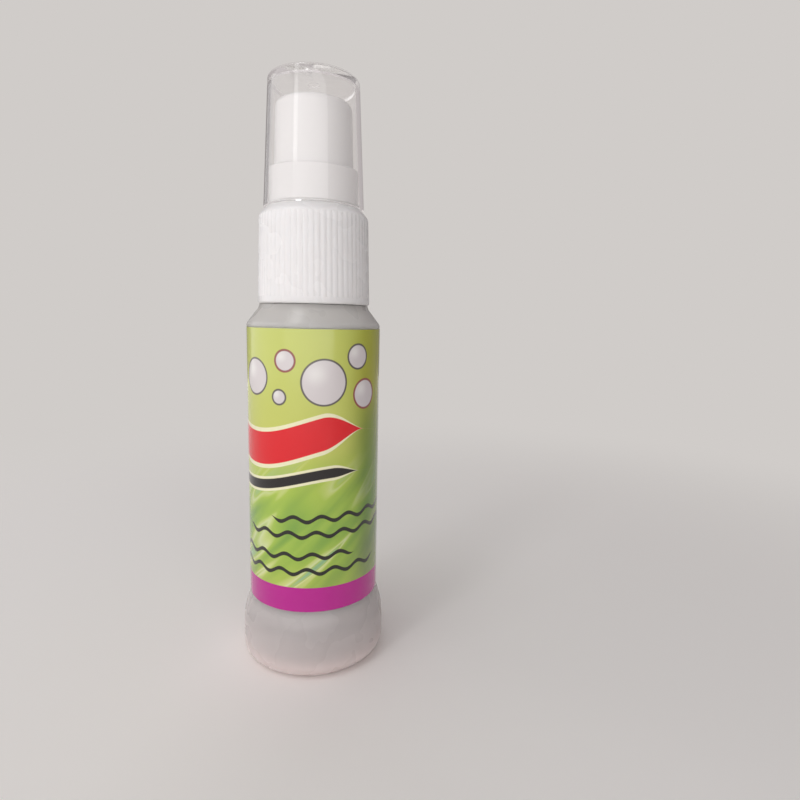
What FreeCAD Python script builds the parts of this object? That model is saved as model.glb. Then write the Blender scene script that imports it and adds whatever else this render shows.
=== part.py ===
"""Pocket pump spray for lens cleaner: blow-moulded bottle, ribbed screw closure,
fine-mist pump with a moving valve stem, push-button actuator and clear overcap.

Frame: millimetres, +Z up, origin at the centre of the foot on the standing surface.
The spray leaves towards +Y.  Every size below is written once, in the Sizes sheet;
levels that follow from a stack of pieces are worked out in the Levels set.
"""
import FreeCAD, Part
import math
import os
import re
import Sketcher

V = FreeCAD.Vector
OUT = "parts"

# Driving sizes in millimetres: alias, value, what it measures.
SIZES = [
    # bottle, outside
    ("bottle_radius", 14.33, "widest radius, at the foot bulge"),
    ("bottle_wall", 1.1, "blown wall"),
    ("base_corner", 2.8, "rounding between foot and wall"),
    ("foot_inner_radius", 9.8, "inner edge of the ring it stands on"),
    ("push_up_radius", 8.6, "flat roof of the push-up"),
    ("push_up_rise", 1.2, "height of the push-up"),
    ("bulge_height", 9.1, "level where the foot bulge turns into the waist"),
    ("bulge_flat", 1.23, "straight stretch between the bulge's curve and the panel"),
    ("waist_height", 13.0, "level where the label panel starts"),
    ("panel_recess", 1.48, "label panel inside the widest radius"),
    ("lip_reach", 0.11, "lip outside the panel, guarding the label's top edge"),
    ("lip_height", 0.55, "height of that lip"),
    ("lip_flat", 0.04, "straight stretch left on the lip by the shoulder's curve"),
    ("shoulder_rise", 2.85, "height of the sloping shoulder"),
    ("ledge_inset", 0.02, "ledge inside the closure's lower lip"),
    ("ledge_lean", 0.3, "lean of the step that carries the closure"),
    ("ledge_rise", 0.8, "height of that step"),
    ("neck_radius", 7.75, "neck wall between threads, 18 mm finish"),
    ("neck_wall", 1.95, "wall of the neck"),
    ("neck_length", 13.85, "step to sealing land"),
    ("inside_corner", 1.6, "slant at the bottom of the cavity"),
    # label and filling
    ("label_glue", 0.02, "adhesive between panel and film"),
    ("label_film", 0.1, "thickness of the label film"),
    ("label_length", 53.1, "height of the label"),
    ("label_margin", 0.4, "bare panel below the label"),
    ("label_head", 0.2, "bare panel above the label"),
    ("fill_drop", 3.2, "surface of the liquid below the panel's top"),
    ("fill_gap", 0.05, "film between liquid and wall"),
    ("fill_clear", 0.4, "room round the immersed pump"),
    # screw closure
    ("thread_depth", 1.1, "height of the neck thread, 18 mm finish"),
    ("thread_clear", 0.2, "room between thread crest and closure"),
    ("closure_gap", 0.1, "step to the closure's lower edge"),
    ("closure_wall", 1.72, "bore to the outside of the smooth lower lip"),
    ("closure_lip", 1.3, "height of the smooth lower lip"),
    ("closure_lip_edge", 0.25, "slant of the lower edge"),
    ("rib_draft", 0.37, "how much narrower the ribs are at their top"),
    ("slope_run", 1.4, "width of the sloping top"),
    ("slope_rise", 1.55, "height of the sloping top, up to the cap's seat"),
    ("spigot_rise", 0.5, "height of the spigot that centres the cap"),
    ("slope_edge", 0.3, "reach of the slant between ribs and sloping top"),
    ("shelf", 1.45, "thickness of the closure's top"),
    ("bore_slant", 1.05, "height of the slant at the top of the bore"),
    ("flute_run", 0.4, "how far the flutes are cut past the ribs' top"),
    ("flute_depth", 0.16, "depth of the flutes between ribs"),
    ("flute_width", 0.8, "width of a flute at the rib tops"),
    ("flute_count", 60, "flutes round the closure"),
    # gasket
    ("gasket_thick", 1.0, "foam washer on the sealing land"),
    ("gasket_clear", 0.75, "room between washer and closure"),
    ("gasket_fit", 0.08, "slip fit on the pump barrel"),
    # pump housing
    ("flange_thick", 1.2, "housing flange that hangs on the gasket"),
    ("flange_clear", 0.45, "room between both flanges and the closure"),
    ("flange_side", 0.12, "room left at the flanges by the bore's slant"),
    ("barrel_clear", 0.4, "room between the wide upper barrel and the neck"),
    ("barrel_wall", 0.8, "wall round the socket for the collar's hub"),
    ("barrel_skirt", 1.0, "wall below the socket's floor"),
    ("hub_depth", 4.95, "depth of that socket below the flange"),
    ("socket_step", 1.2, "socket wider than the pump cylinder"),
    ("cylinder_wall", 0.9, "wall of the cylinder"),
    ("cylinder_length", 19.4, "socket floor to spring ledge"),
    ("ball_clear", 0.2, "room round the ball in its chamber"),
    ("lug_length", 0.35, "reach of the ball-retaining lugs"),
    ("lug_height", 0.45, "height of those lugs"),
    ("lug_width", 0.7, "width of those lugs"),
    ("lug_count", 3, "lugs round the throat"),
    ("ball_radius", 1.25, "inlet ball"),
    ("ball_play", 0.02, "ball above its seat"),
    ("ball_lift", 0.8, "rise of the ball when the pump draws"),
    ("ball_head", 0.08, "room left above the lifted ball"),
    ("inlet_radius", 0.75, "inlet bore under the ball"),
    ("inlet_length", 1.1, "length of the inlet bore"),
    ("tail_wall", 1.28, "wall of the tube socket"),
    ("tail_length", 5.4, "length of the tube socket"),
    # dip tube
    ("tube_radius", 1.6, "outside of the dip tube"),
    ("tube_bore", 1.0, "inside of the dip tube"),
    ("tube_fit", 0.02, "press fit of the tube in its socket"),
    ("tube_clear", 1.1, "tube's tip above the cavity floor"),
    ("tube_bevel", 2.2, "height of the slanted cut"),
    # collar that holds the pump together and guides the button
    ("collar_flange", 1.0, "flange under the closure's shelf"),
    ("collar_fit", 0.1, "running fit of the collar in the closure"),
    ("collar_riser_inset", 0.47, "collar in the closure's hole, inside the guide ring"),
    ("collar_riser_wall", 1.0, "wall of that stretch"),
    ("collar_step", 0.1, "ring above the closure's top face"),
    ("ring_wall", 0.7, "wall of the guide ring"),
    ("ring_length", 6.3, "height of the guide ring"),
    ("ring_edge", 0.2, "slant of its top edge"),
    ("ring_floor", 0.2, "step that stops the button"),
    ("hub_fit", 0.02, "snap fit of the hub in the housing"),
    ("hub_guide_radius", 3.2, "stem guide above the floor"),
    ("hub_guide_length", 2.0, "height of that guide"),
    # stem, valve and piston
    ("stem_radius", 1.9, "outside of the hollow stem"),
    ("stem_bore_step", 0.1, "delivery bore narrower than the shank"),
    ("stem_fit", 0.06, "running fit of the stem in its guide"),
    ("stem_socket_length", 3.8, "bore that takes the valve shank"),
    ("stroke", 4.6, "full travel of the button"),
    ("stroke_reserve", 0.2, "room left above the stop at full travel"),
    ("piston_play", 0.1, "piston below the collar's hub"),
    ("piston_tail", 1.3, "piston below its valve seat"),
    ("piston_fit", 0.05, "lips inside the cylinder"),
    ("piston_waist", 0.5, "relief between the two lips"),
    ("piston_lip", 1.1, "height of each lip"),
    ("piston_cup_clear", 0.4, "room round the stem's end in its cup"),
    ("piston_cup_depth", 1.8, "depth of that cup"),
    ("piston_hole_gap", 0.2, "room round the valve shank in the piston"),
    ("piston_seat_level", 3.9, "valve seat below the piston's top"),
    ("piston_recess_clear", 0.2, "room round the valve cone"),
    ("valve_lift", 0.5, "lost motion that opens the valve"),
    ("valve_play", 0.05, "play at the valve seat and its stop"),
    ("shank_radius", 1.0, "valve shank"),
    ("shank_fit", 0.02, "press fit of the shank in the stem"),
    ("shank_flute_depth", 0.35, "flutes that pass the liquid"),
    ("shank_flute_width", 0.5, "width of those flutes"),
    ("shank_flute_count", 3, "flutes round the shank"),
    ("valve_radius", 1.8, "valve cone"),
    ("spring_seat_drop", 0.1, "piston to the seat on top of the spring"),
    ("spring_seat_clear", 0.5, "room round that seat in the cylinder"),
    ("spring_seat_thick", 0.8, "thickness of that seat"),
    ("spigot_radius", 1.85, "spigot inside the spring"),
    ("spigot_length", 2.2, "height of that spigot"),
    # spring
    ("wire_radius", 0.28, "spring wire"),
    ("spring_clear", 0.37, "room between spigot and coils"),
    ("coil_turns", 4, "rising turns between the two flat ends"),
    ("spring_play", 0.04, "play at each end of the spring"),
    # button
    ("button_fit", 0.2, "room between button and guide ring"),
    ("button_draft", 0.38, "how much narrower the button is at its top"),
    ("button_length", 13.5, "height of the button"),
    ("button_wall", 1.05, "skirt wall"),
    ("button_roof", 1.5, "thickness of the top"),
    ("button_round", 1.5, "rounding of the top edge"),
    ("dish_rim", 0.64, "flat rim round the finger dish"),
    ("dish_depth", 0.5, "depth of the finger dish"),
    ("boss_radius", 3.3, "boss round the stem"),
    ("boss_length", 8.4, "height of that boss"),
    ("stem_grip", 5.4, "length of stem held in the boss"),
    ("stem_grip_fit", 0.02, "press fit of the stem in the boss"),
    ("stem_chamber", 1.2, "chamber above the stem"),
    ("nozzle_drop", 5.6, "nozzle axis below the button's top"),
    ("nozzle_block", 3.1, "block that carries the nozzle"),
    ("nozzle_block_bite", 0.18, "how far that block runs into the skirt"),
    ("nozzle_pocket", 2.25, "pocket for the nozzle insert"),
    ("nozzle_post", 1.2, "post inside the insert"),
    ("nozzle_post_length", 1.9, "length of that post"),
    ("nozzle_post_gap", 0.25, "swirl room ahead of the post"),
    ("nozzle_fit", 0.04, "press fit of the insert"),
    ("nozzle_stand", 0.73, "insert's front face outside the skirt's inner wall"),
    ("nozzle_plate", 0.6, "thickness of the insert's front"),
    ("nozzle_orifice", 0.2, "radius of the spray orifice"),
    ("nozzle_dish", 1.0, "cone round the orifice"),
    ("nozzle_dish_depth", 0.35, "depth of that cone"),
    ("channel_radius", 0.45, "feed from stem to nozzle"),
    # clear overcap
    ("cap_seat", 0.1, "cap's rim above its seat"),
    ("cap_overhang", 0.52, "cap's rim outside that seat"),
    ("cap_fit", 0.1, "room round the closure's spigot"),
    ("cap_clear", 0.4, "room between the cap's rim and the guide ring"),
    ("cap_draft", 1.02, "how much narrower the cap is at its top"),
    ("cap_length", 23.15, "height of the cap"),
    ("cap_wall", 0.7, "side wall"),
    ("cap_plate", 1.2, "top plate"),
    ("cap_round", 0.6, "rounding of the top edge"),
    ("cap_inside_edge", 0.4, "slant inside the top"),
    ("gate_radius", 1.15, "dimple left by the injection gate"),
    ("gate_depth", 0.4, "depth of that dimple"),
]

# Levels and radii that follow from the sizes above.
LEVELS = [
    ("cavity_floor", "push_up_rise + bottle_wall"),
    ("neck_bore", "neck_radius - neck_wall"),
    ("thread_radius", "neck_radius + thread_depth"),
    ("closure_bore", "thread_radius + thread_clear"),
    ("closure_radius", "closure_bore + closure_wall"),
    ("closure_top_radius", "closure_radius - rib_draft"),
    ("ledge_radius", "closure_radius - ledge_inset"),
    ("panel_radius", "bottle_radius - panel_recess"),
    ("bulge_rise", "waist_height - bulge_height"),
    ("bulge_slope", "sqrt(panel_recess ^ 2 + bulge_rise ^ 2)"),
    ("bulge_round", "(bulge_slope - bulge_flat) * panel_recess / (bulge_slope - bulge_rise)"),
    ("lip_radius", "panel_radius + lip_reach"),
    ("shoulder_run", "lip_radius - ledge_radius"),
    ("shoulder_slope", "sqrt(shoulder_run ^ 2 + shoulder_rise ^ 2)"),
    ("shoulder_round", "(lip_height - lip_flat) * shoulder_run / (shoulder_slope - shoulder_rise)"),
    ("label_bottom", "waist_height + label_margin"),
    ("label_top", "label_bottom + label_length"),
    ("panel_top", "label_top + label_head"),
    ("fill_level", "panel_top - fill_drop"),
    ("shoulder_edge", "panel_top + lip_height"),
    ("ledge_height", "shoulder_edge + shoulder_rise"),
    ("neck_root", "ledge_height + ledge_rise"),
    ("neck_top", "neck_root + neck_length"),
    ("closure_bottom", "neck_root + closure_gap"),
    ("gasket_top", "neck_top + gasket_thick"),
    ("flange_top", "gasket_top + flange_thick"),
    ("shelf_under", "flange_top + collar_flange"),
    ("closure_top", "shelf_under + shelf"),
    ("rim_seat", "closure_top - spigot_rise"),
    ("rib_corner", "rim_seat - slope_rise"),
    ("rib_foot", "closure_bottom + closure_lip"),
    ("flute_head", "rib_corner + flute_run"),
    ("rib_taper", "rib_draft / (rib_corner - rib_foot)"),
    ("slope_length", "sqrt(slope_run ^ 2 + slope_rise ^ 2)"),
    ("flange_radius", "closure_bore - flange_clear"),
    ("gasket_radius", "closure_bore - gasket_clear"),
    ("seat_radius", "closure_top_radius - slope_run"),
    ("cap_radius", "seat_radius + cap_overhang"),
    ("cap_top_radius", "cap_radius - cap_draft"),
    ("cap_inside", "cap_radius - cap_wall"),
    ("cap_spigot", "cap_inside - cap_fit"),
    ("ring_radius", "cap_inside - cap_clear"),
    ("ring_inside", "ring_radius - ring_wall"),
    ("collar_riser", "ring_radius - collar_riser_inset"),
    ("closure_hole", "collar_riser + collar_fit"),
    ("barrel_radius", "neck_bore - barrel_clear"),
    ("barrel_bore", "barrel_radius - barrel_wall"),
    ("cylinder_bore", "barrel_bore - socket_step"),
    ("cylinder_radius", "cylinder_bore + cylinder_wall"),
    ("hub_bottom", "flange_top - hub_depth"),
    ("ledge_spring", "hub_bottom - cylinder_length"),
    ("throat_radius", "ball_radius + ball_clear"),
    ("lug_under", "ledge_spring - lug_height"),
    ("ball_top", "lug_under - ball_head - ball_lift"),
    ("ball_centre", "ball_top - ball_radius"),
    ("inlet_top", "ball_centre - ball_play - ball_radius * sqrt(2) + inlet_radius"),
    ("seat_top", "inlet_top + throat_radius - inlet_radius"),
    ("inlet_bottom", "inlet_top - inlet_length"),
    ("tail_bottom", "inlet_bottom - tail_length"),
    ("tail_radius", "tube_radius + tube_fit + tail_wall"),
    ("tail_cone", "ledge_spring - cylinder_wall"),
    ("tube_tip", "cavity_floor + tube_clear"),
    ("ring_bottom", "closure_top + collar_step"),
    ("ring_top", "ring_bottom + ring_length"),
    ("stop_level", "ring_bottom + ring_floor"),
    ("collar_floor", "shelf_under + collar_flange"),
    ("guide_top", "collar_floor + hub_guide_length"),
    ("button_radius", "ring_inside - button_fit"),
    ("button_top_radius", "button_radius - button_draft"),
    ("dish_radius", "button_top_radius - button_round - dish_rim"),
    ("button_bottom", "stop_level + stroke_reserve + stroke"),
    ("button_top", "button_bottom + button_length"),
    ("button_ceiling", "button_top - button_roof"),
    ("boss_bottom", "button_ceiling - boss_length"),
    ("stem_top", "boss_bottom + stem_grip"),
    ("nozzle_level", "button_top - nozzle_drop"),
    ("button_taper", "(button_radius - button_top_radius) / (button_ceiling - button_bottom)"),
    ("skirt_inside", "button_radius - button_wall - button_taper * (nozzle_level - button_bottom)"),
    ("nozzle_block_reach", "skirt_inside + nozzle_block_bite"),
    ("nozzle_face", "skirt_inside + nozzle_stand"),
    ("nozzle_post_reach", "nozzle_face - nozzle_plate - nozzle_post_gap"),
    ("nozzle_floor", "nozzle_post_reach - nozzle_post_length"),
    ("chamber_top", "stem_top + stem_chamber"),
    ("stem_bore", "shank_radius - stem_bore_step"),
    ("piston_cup", "stem_radius + piston_cup_clear"),
    ("piston_hole", "shank_radius + piston_hole_gap"),
    ("piston_recess", "valve_radius + piston_recess_clear"),
    ("piston_top", "hub_bottom - piston_play"),
    ("cup_floor", "piston_top - piston_cup_depth"),
    ("seat_level", "piston_top - piston_seat_level"),
    ("piston_bottom", "seat_level - piston_tail"),
    ("stem_bottom", "cup_floor + valve_lift + valve_play"),
    ("socket_top", "stem_bottom + stem_socket_length"),
    ("cone_top", "seat_level - valve_play + piston_hole - shank_radius"),
    ("cone_bottom", "cone_top - valve_radius + shank_radius"),
    ("spring_top", "piston_bottom - spring_seat_drop - spring_seat_thick"),
    ("spring_seat_radius", "cylinder_bore - spring_seat_clear"),
    ("coil_radius", "spigot_radius + spring_clear + wire_radius"),
    ("cap_rim", "rim_seat + cap_seat"),
    ("cap_top", "cap_rim + cap_length"),
]

doc = FreeCAD.newDocument("LensCleaningSpray")


def make_sizes():
    """Writes the driving sizes into a sheet, one aliased number to a row."""
    sheet = doc.addObject("Spreadsheet::Sheet", "Sizes")
    for row, (alias, number, meaning) in enumerate(SIZES, start=1):
        sheet.set(f"A{row}", alias)
        sheet.set(f"B{row}", str(number))
        sheet.set(f"C{row}", meaning)
        sheet.setAlias(f"B{row}", alias)
    doc.recompute()
    return sheet


SHEET = make_sizes()
SIZE_NAMES = {alias for alias, _, _ in SIZES}
LEVEL_NAMES = {alias for alias, _ in LEVELS}


def bound(formula):
    """A formula in plain size names, as an expression of the document."""
    def full(match):
        word = match.group(0)
        if word in SIZE_NAMES:
            return f"Sizes.{word}"
        return f"Levels.{word}" if word in LEVEL_NAMES else word
    return re.sub(r"[a-z]+(?:_[a-z]+)*", full, str(formula))


def value(formula):
    """The number a formula gives now."""
    return float(SHEET.evalExpression(bound(formula)))


def make_levels():
    """Binds every level to the sheet, in the order in which they build up."""
    levels = doc.addObject("App::VarSet", "Levels")
    for alias, formula in LEVELS:
        levels.addProperty("App::PropertyFloat", alias, "Levels", "")
        levels.setExpression(alias, bound(formula))
        doc.recompute()
    return levels


make_levels()


def origin(body, role):
    """A body's own origin plane or axis."""
    return [part for part in body.Origin.OriginFeatures if part.Role == role][0]


def new_body(label):
    body = doc.addObject("PartDesign::Body", label)
    body.Label = label
    return body


def new_sketch(body, name, plane):
    sketch = body.newObject("Sketcher::SketchObject", name)
    sketch.AttachmentSupport = [(origin(body, plane), "")]
    sketch.MapMode = "FlatFace"
    return sketch


def hold(sketch, index, point, kind, formula):
    """Ties one coordinate of a point to a formula, or to the axis where it is zero."""
    number = value(formula)
    if abs(number) < 1e-9:
        axis = -2 if kind == "DistanceX" else -1
        sketch.addConstraint(Sketcher.Constraint("PointOnObject", index, point, axis))
        return
    row = sketch.addConstraint(Sketcher.Constraint(kind, -1, 1, index, point, number))
    sketch.setExpression(f"Constraints[{row}]", bound(formula))


def polygon(body, name, plane, corners):
    """A closed outline whose every corner is driven by two formulas."""
    return outline(new_sketch(body, name, plane), corners)


def outline(sketch, corners):
    """Draws and drives the closed outline in a sketch that is already placed."""
    places = [V(value(across), value(up), 0) for across, up in corners]
    count = len(places)
    for k in range(count):
        sketch.addGeometry(Part.LineSegment(places[k], places[(k + 1) % count]), False)
    for k in range(count):
        sketch.addConstraint(Sketcher.Constraint("Coincident", k, 2, (k + 1) % count, 1))
    for k, (across, up) in enumerate(corners):
        hold(sketch, k, 1, "DistanceX", across)
        hold(sketch, k, 1, "DistanceY", up)
    return sketch


def circles(body, name, plane, across, up, radii):
    """Concentric circles on one centre."""
    sketch = new_sketch(body, name, plane)
    centre = V(value(across), value(up), 0)
    for k, radius in enumerate(radii):
        sketch.addGeometry(Part.Circle(centre, V(0, 0, 1), value(radius)), False)
        hold(sketch, k, 3, "DistanceX", across)
        hold(sketch, k, 3, "DistanceY", up)
        row = sketch.addConstraint(Sketcher.Constraint("Radius", k, value(radius)))
        sketch.setExpression(f"Constraints[{row}]", bound(radius))
    return sketch


def volume_now(body):
    doc.recompute()
    return body.Shape.Volume if body.Tip else 0.0


def changed(body, name, before, grows):
    """Stops where a feature added or removed nothing."""
    after = volume_now(body)
    if (after > before) != grows or abs(after - before) < 1e-6:
        raise RuntimeError(f"{body.Label}.{name} changed nothing: {before} to {after}")


def revolve(body, name, corners, cut=False):
    """Turns an outline of (radius, level) corners about the body's Z axis."""
    before = volume_now(body)
    sketch = polygon(body, name + "Outline", "XZ_Plane", corners)
    kind = "PartDesign::Groove" if cut else "PartDesign::Revolution"
    feature = body.newObject(kind, name)
    feature.Profile = sketch
    feature.ReferenceAxis = (sketch, ["V_Axis"])
    feature.Angle = 360
    changed(body, name, before, not cut)
    return feature


def extrude(body, name, sketch, length, cut=False, both=False, back=False):
    """Pads or pockets a sketch: to both sides, or to one side of its plane."""
    before = volume_now(body)
    feature = body.newObject("PartDesign::Pocket" if cut else "PartDesign::Pad", name)
    feature.Profile = sketch
    feature.setExpression("Length", bound(length))
    feature.SideType = "Symmetric" if both else "One side"
    feature.Reversed = back
    changed(body, name, before, not cut)
    return feature


def polar(body, name, feature, count):
    """Repeats one feature round the body's Z axis."""
    before = volume_now(body)
    pattern = body.newObject("PartDesign::PolarPattern", name)
    pattern.Originals = [feature]
    pattern.Axis = (origin(body, "Z_Axis"), [""])
    pattern.Angle = 360
    pattern.setExpression("Occurrences", bound(count))
    body.Tip = pattern
    grows = feature.TypeId == "PartDesign::Pad"
    changed(body, name, before, grows)
    return pattern


def ring_edges(shape, rings):
    """Names of the full circles about Z at the given radii and levels."""
    names = []
    wanted = [(value(radius), value(level)) for radius, level in rings]
    for number, edge in enumerate(shape.Edges, start=1):
        if not isinstance(edge.Curve, Part.Circle):
            continue
        centre = edge.Curve.Center
        if math.hypot(centre.x, centre.y) > 1e-4:
            continue
        for radius, level in wanted:
            if abs(edge.Curve.Radius - radius) < 1e-3 and abs(centre.z - level) < 1e-3:
                names.append(f"Edge{number}")
    if len(names) != len(wanted):
        raise RuntimeError(f"found {len(names)} of {len(wanted)} ring edges")
    return names


def soften(body, name, radius, rings):
    """Rounds full circular edges."""
    doc.recompute()
    base = body.Tip
    feature = body.newObject("PartDesign::Fillet", name)
    feature.Base = (base, ring_edges(base.Shape, rings))
    feature.setExpression("Radius", bound(radius))
    doc.recompute()
    if "Invalid" in feature.State or feature.Shape.isNull():
        raise RuntimeError(f"{body.Label}.{name} could not be rounded")
    return feature


def make_bottle():
    """Blown bottle: foot with push-up, bulge, recessed panel, shoulder, neck."""
    body = new_body("bottle")
    revolve(body, "Blank", [
        ("0", "push_up_rise"),
        ("push_up_radius", "push_up_rise"),
        ("foot_inner_radius", "0"),
        ("bottle_radius", "0"),
        ("bottle_radius", "bulge_height"),
        ("panel_radius", "waist_height"),
        ("panel_radius", "panel_top"),
        ("lip_radius", "panel_top"),
        ("lip_radius", "shoulder_edge"),
        ("ledge_radius", "ledge_height"),
        ("ledge_radius - ledge_lean", "neck_root"),
        ("neck_radius", "neck_root"),
        ("neck_radius", "neck_top"),
        ("0", "neck_top"),
    ])
    soften(body, "BaseCorner", "base_corner", [("bottle_radius", "0")])
    soften(body, "Bulge", "bulge_round", [("bottle_radius", "bulge_height")])
    soften(body, "Shoulder", "shoulder_round", [("lip_radius", "shoulder_edge")])
    revolve(body, "Cavity", [
        ("0", "cavity_floor"),
        ("bottle_radius - bottle_wall - inside_corner", "cavity_floor"),
        ("bottle_radius - bottle_wall", "cavity_floor + inside_corner"),
        ("bottle_radius - bottle_wall", "bulge_height"),
        ("panel_radius - bottle_wall", "waist_height"),
        ("panel_radius - bottle_wall", "shoulder_edge - bottle_wall / 2"),
        ("ledge_radius - bottle_wall", "ledge_height - bottle_wall"),
        ("neck_bore", "neck_root - bottle_wall"),
        ("neck_bore", "neck_top"),
        ("0", "neck_top"),
    ], cut=True)
    return body


def make_label():
    """Wrapped film, closed into a sleeve."""
    body = new_body("label")
    inner = "panel_radius + label_glue"
    outer = "panel_radius + label_glue + label_film"
    revolve(body, "Sleeve", [
        (inner, "label_bottom"),
        (outer, "label_bottom"),
        (outer, "label_top"),
        (inner, "label_top"),
    ])
    return body


def make_liquid():
    """Filling, with room round the immersed pump and its tube."""
    body = new_body("cleaning_liquid")
    wide = "bottle_radius - bottle_wall - fill_gap"
    slim = "panel_radius - bottle_wall - fill_gap"
    pump = "cylinder_radius + fill_clear"
    tail = "tail_radius + fill_clear"
    tube = "tube_radius + fill_clear"
    revolve(body, "Filling", [
        ("0", "cavity_floor + fill_gap"),
        (wide + " - inside_corner", "cavity_floor + fill_gap"),
        (wide, "cavity_floor + inside_corner + fill_gap"),
        (wide, "bulge_height"),
        (slim, "waist_height"),
        (slim, "fill_level"),
        (pump, "fill_level"),
        (pump, "tail_cone - cylinder_radius + tail_radius - fill_clear"),
        (tail, "tail_cone - cylinder_radius + tail_radius - fill_clear"),
        (tail, "tail_bottom - fill_clear"),
        (tube, "tail_bottom - fill_clear"),
        (tube, "tube_tip - fill_clear"),
        ("0", "tube_tip - fill_clear"),
    ])
    return body


def make_closure():
    """Tapered screw closure: fine vertical ribs, sloping top, seat for the cap."""
    body = new_body("closure")
    revolve(body, "Blank", [
        ("closure_bore", "closure_bottom"),
        ("closure_radius - closure_lip_edge", "closure_bottom"),
        ("closure_radius", "closure_bottom + closure_lip_edge"),
        ("closure_radius", "rib_foot"),
        ("closure_top_radius + slope_edge * rib_taper", "rib_corner - slope_edge"),
        ("closure_top_radius - slope_edge * slope_run / slope_length",
         "rib_corner + slope_edge * slope_rise / slope_length"),
        ("seat_radius", "rim_seat"),
        ("cap_spigot", "rim_seat"),
        ("cap_spigot", "closure_top"),
        ("closure_hole", "closure_top"),
        ("closure_hole", "shelf_under"),
        ("flange_radius + flange_side", "shelf_under"),
        ("closure_bore", "shelf_under - bore_slant"),
    ])
    foot_notch = notch(body, "FluteFoot", "closure_radius", "rib_foot")
    head = "closure_top_radius - flute_run * rib_taper"
    head_notch = notch(body, "FluteHead", head, "flute_head")
    before = volume_now(body)
    flute = body.newObject("PartDesign::SubtractiveLoft", "Flute")
    flute.Profile = foot_notch
    flute.Sections = [head_notch]
    flute.Ruled = True
    changed(body, "Flute", before, False)
    polar(body, "Flutes", flute, "flute_count")
    return body


def notch(body, name, surface, level):
    """V-shaped notch across a rib surface, drawn in a level plane.

    The V runs on outwards past the surface, so its depth and its width at the
    surface are the flute's own.
    """
    sketch = new_sketch(body, name, "XY_Plane")
    sketch.AttachmentOffset = FreeCAD.Placement(V(0, 0, value(level)), FreeCAD.Rotation())
    sketch.setExpression("AttachmentOffset.Base.z", bound(level))
    corners = [
        (f"{surface} - flute_depth", "0"),
        (f"{surface} + flute_depth", "flute_width"),
        (f"{surface} + flute_depth", "-flute_width"),
    ]
    return outline(sketch, corners)


def make_gasket():
    """Foam washer between the neck's land and the pump's flange."""
    body = new_body("gasket")
    inner = "barrel_radius + gasket_fit"
    revolve(body, "Washer", [
        (inner, "neck_top"),
        ("gasket_radius", "neck_top"),
        ("gasket_radius", "gasket_top"),
        (inner, "gasket_top"),
    ])
    return body


def make_housing():
    """Pump housing: flange, hub socket, cylinder, ball chamber, tube socket."""
    body = new_body("pump_housing")
    revolve(body, "Housing", [
        ("barrel_bore", "flange_top"),
        ("barrel_bore", "hub_bottom"),
        ("cylinder_bore", "hub_bottom"),
        ("cylinder_bore", "ledge_spring"),
        ("throat_radius", "ledge_spring"),
        ("throat_radius", "seat_top"),
        ("inlet_radius", "inlet_top"),
        ("inlet_radius", "inlet_bottom"),
        ("tube_radius + tube_fit", "inlet_bottom"),
        ("tube_radius + tube_fit", "tail_bottom"),
        ("tail_radius", "tail_bottom"),
        ("tail_radius", "tail_cone - cylinder_radius + tail_radius"),
        ("cylinder_radius", "tail_cone"),
        ("cylinder_radius", "hub_bottom - barrel_skirt"),
        ("barrel_radius", "hub_bottom - barrel_skirt"),
        ("barrel_radius", "gasket_top"),
        ("flange_radius", "gasket_top"),
        ("flange_radius", "flange_top"),
    ])
    lug_outline = polygon(body, "LugOutline", "XZ_Plane", [
        ("throat_radius - lug_length", "lug_under"),
        ("throat_radius + lug_length", "lug_under"),
        ("throat_radius + lug_length", "ledge_spring"),
        ("throat_radius - lug_length", "ledge_spring"),
    ])
    lug = extrude(body, "Lug", lug_outline, "lug_width", both=True)
    polar(body, "Lugs", lug, "lug_count")
    return body


def make_ball():
    """Inlet ball on its conical seat."""
    ball = doc.addObject("Part::Sphere", "inlet_ball")
    ball.Label = "inlet_ball"
    ball.setExpression("Radius", bound("ball_radius"))
    ball.setExpression("Placement.Base.z", bound("ball_centre"))
    return ball


def make_dip_tube():
    """Straight tube with a slanted tip, so that it can't seal on the floor."""
    body = new_body("dip_tube")
    revolve(body, "Tube", [
        ("tube_bore", "tube_tip"),
        ("tube_radius", "tube_tip"),
        ("tube_radius", "inlet_bottom"),
        ("tube_bore", "inlet_bottom"),
    ])
    wedge = polygon(body, "TipOutline", "XZ_Plane", [
        ("-tube_radius - tube_bore", "tube_tip - tube_bore"),
        ("tube_radius + tube_bore", "tube_tip - tube_bore"),
        ("tube_radius", "tube_tip"),
        ("-tube_radius", "tube_tip + tube_bevel"),
        ("-tube_radius - tube_bore", "tube_tip + tube_bevel"),
    ])
    extrude(body, "Tip", wedge, "4 * tube_radius", cut=True, both=True)
    return body


def make_collar():
    """Collar: hub in the housing, flange under the shelf, guide ring for the button."""
    body = new_body("guide_collar")
    inside = "collar_riser - collar_riser_wall"
    revolve(body, "Collar", [
        ("stem_radius + stem_fit", "hub_bottom"),
        ("barrel_bore - hub_fit", "hub_bottom"),
        ("barrel_bore - hub_fit", "flange_top"),
        ("flange_radius", "flange_top"),
        ("flange_radius", "shelf_under"),
        ("collar_riser", "shelf_under"),
        ("collar_riser", "ring_bottom"),
        ("ring_radius", "ring_bottom"),
        ("ring_radius", "ring_top - ring_edge"),
        ("ring_radius - ring_edge", "ring_top"),
        ("ring_inside", "ring_top"),
        ("ring_inside", "stop_level"),
        (inside, "stop_level"),
        (inside, "collar_floor"),
        ("hub_guide_radius", "collar_floor"),
        ("hub_guide_radius", "guide_top"),
        ("stem_radius + stem_fit", "guide_top"),
    ])
    return body


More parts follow.
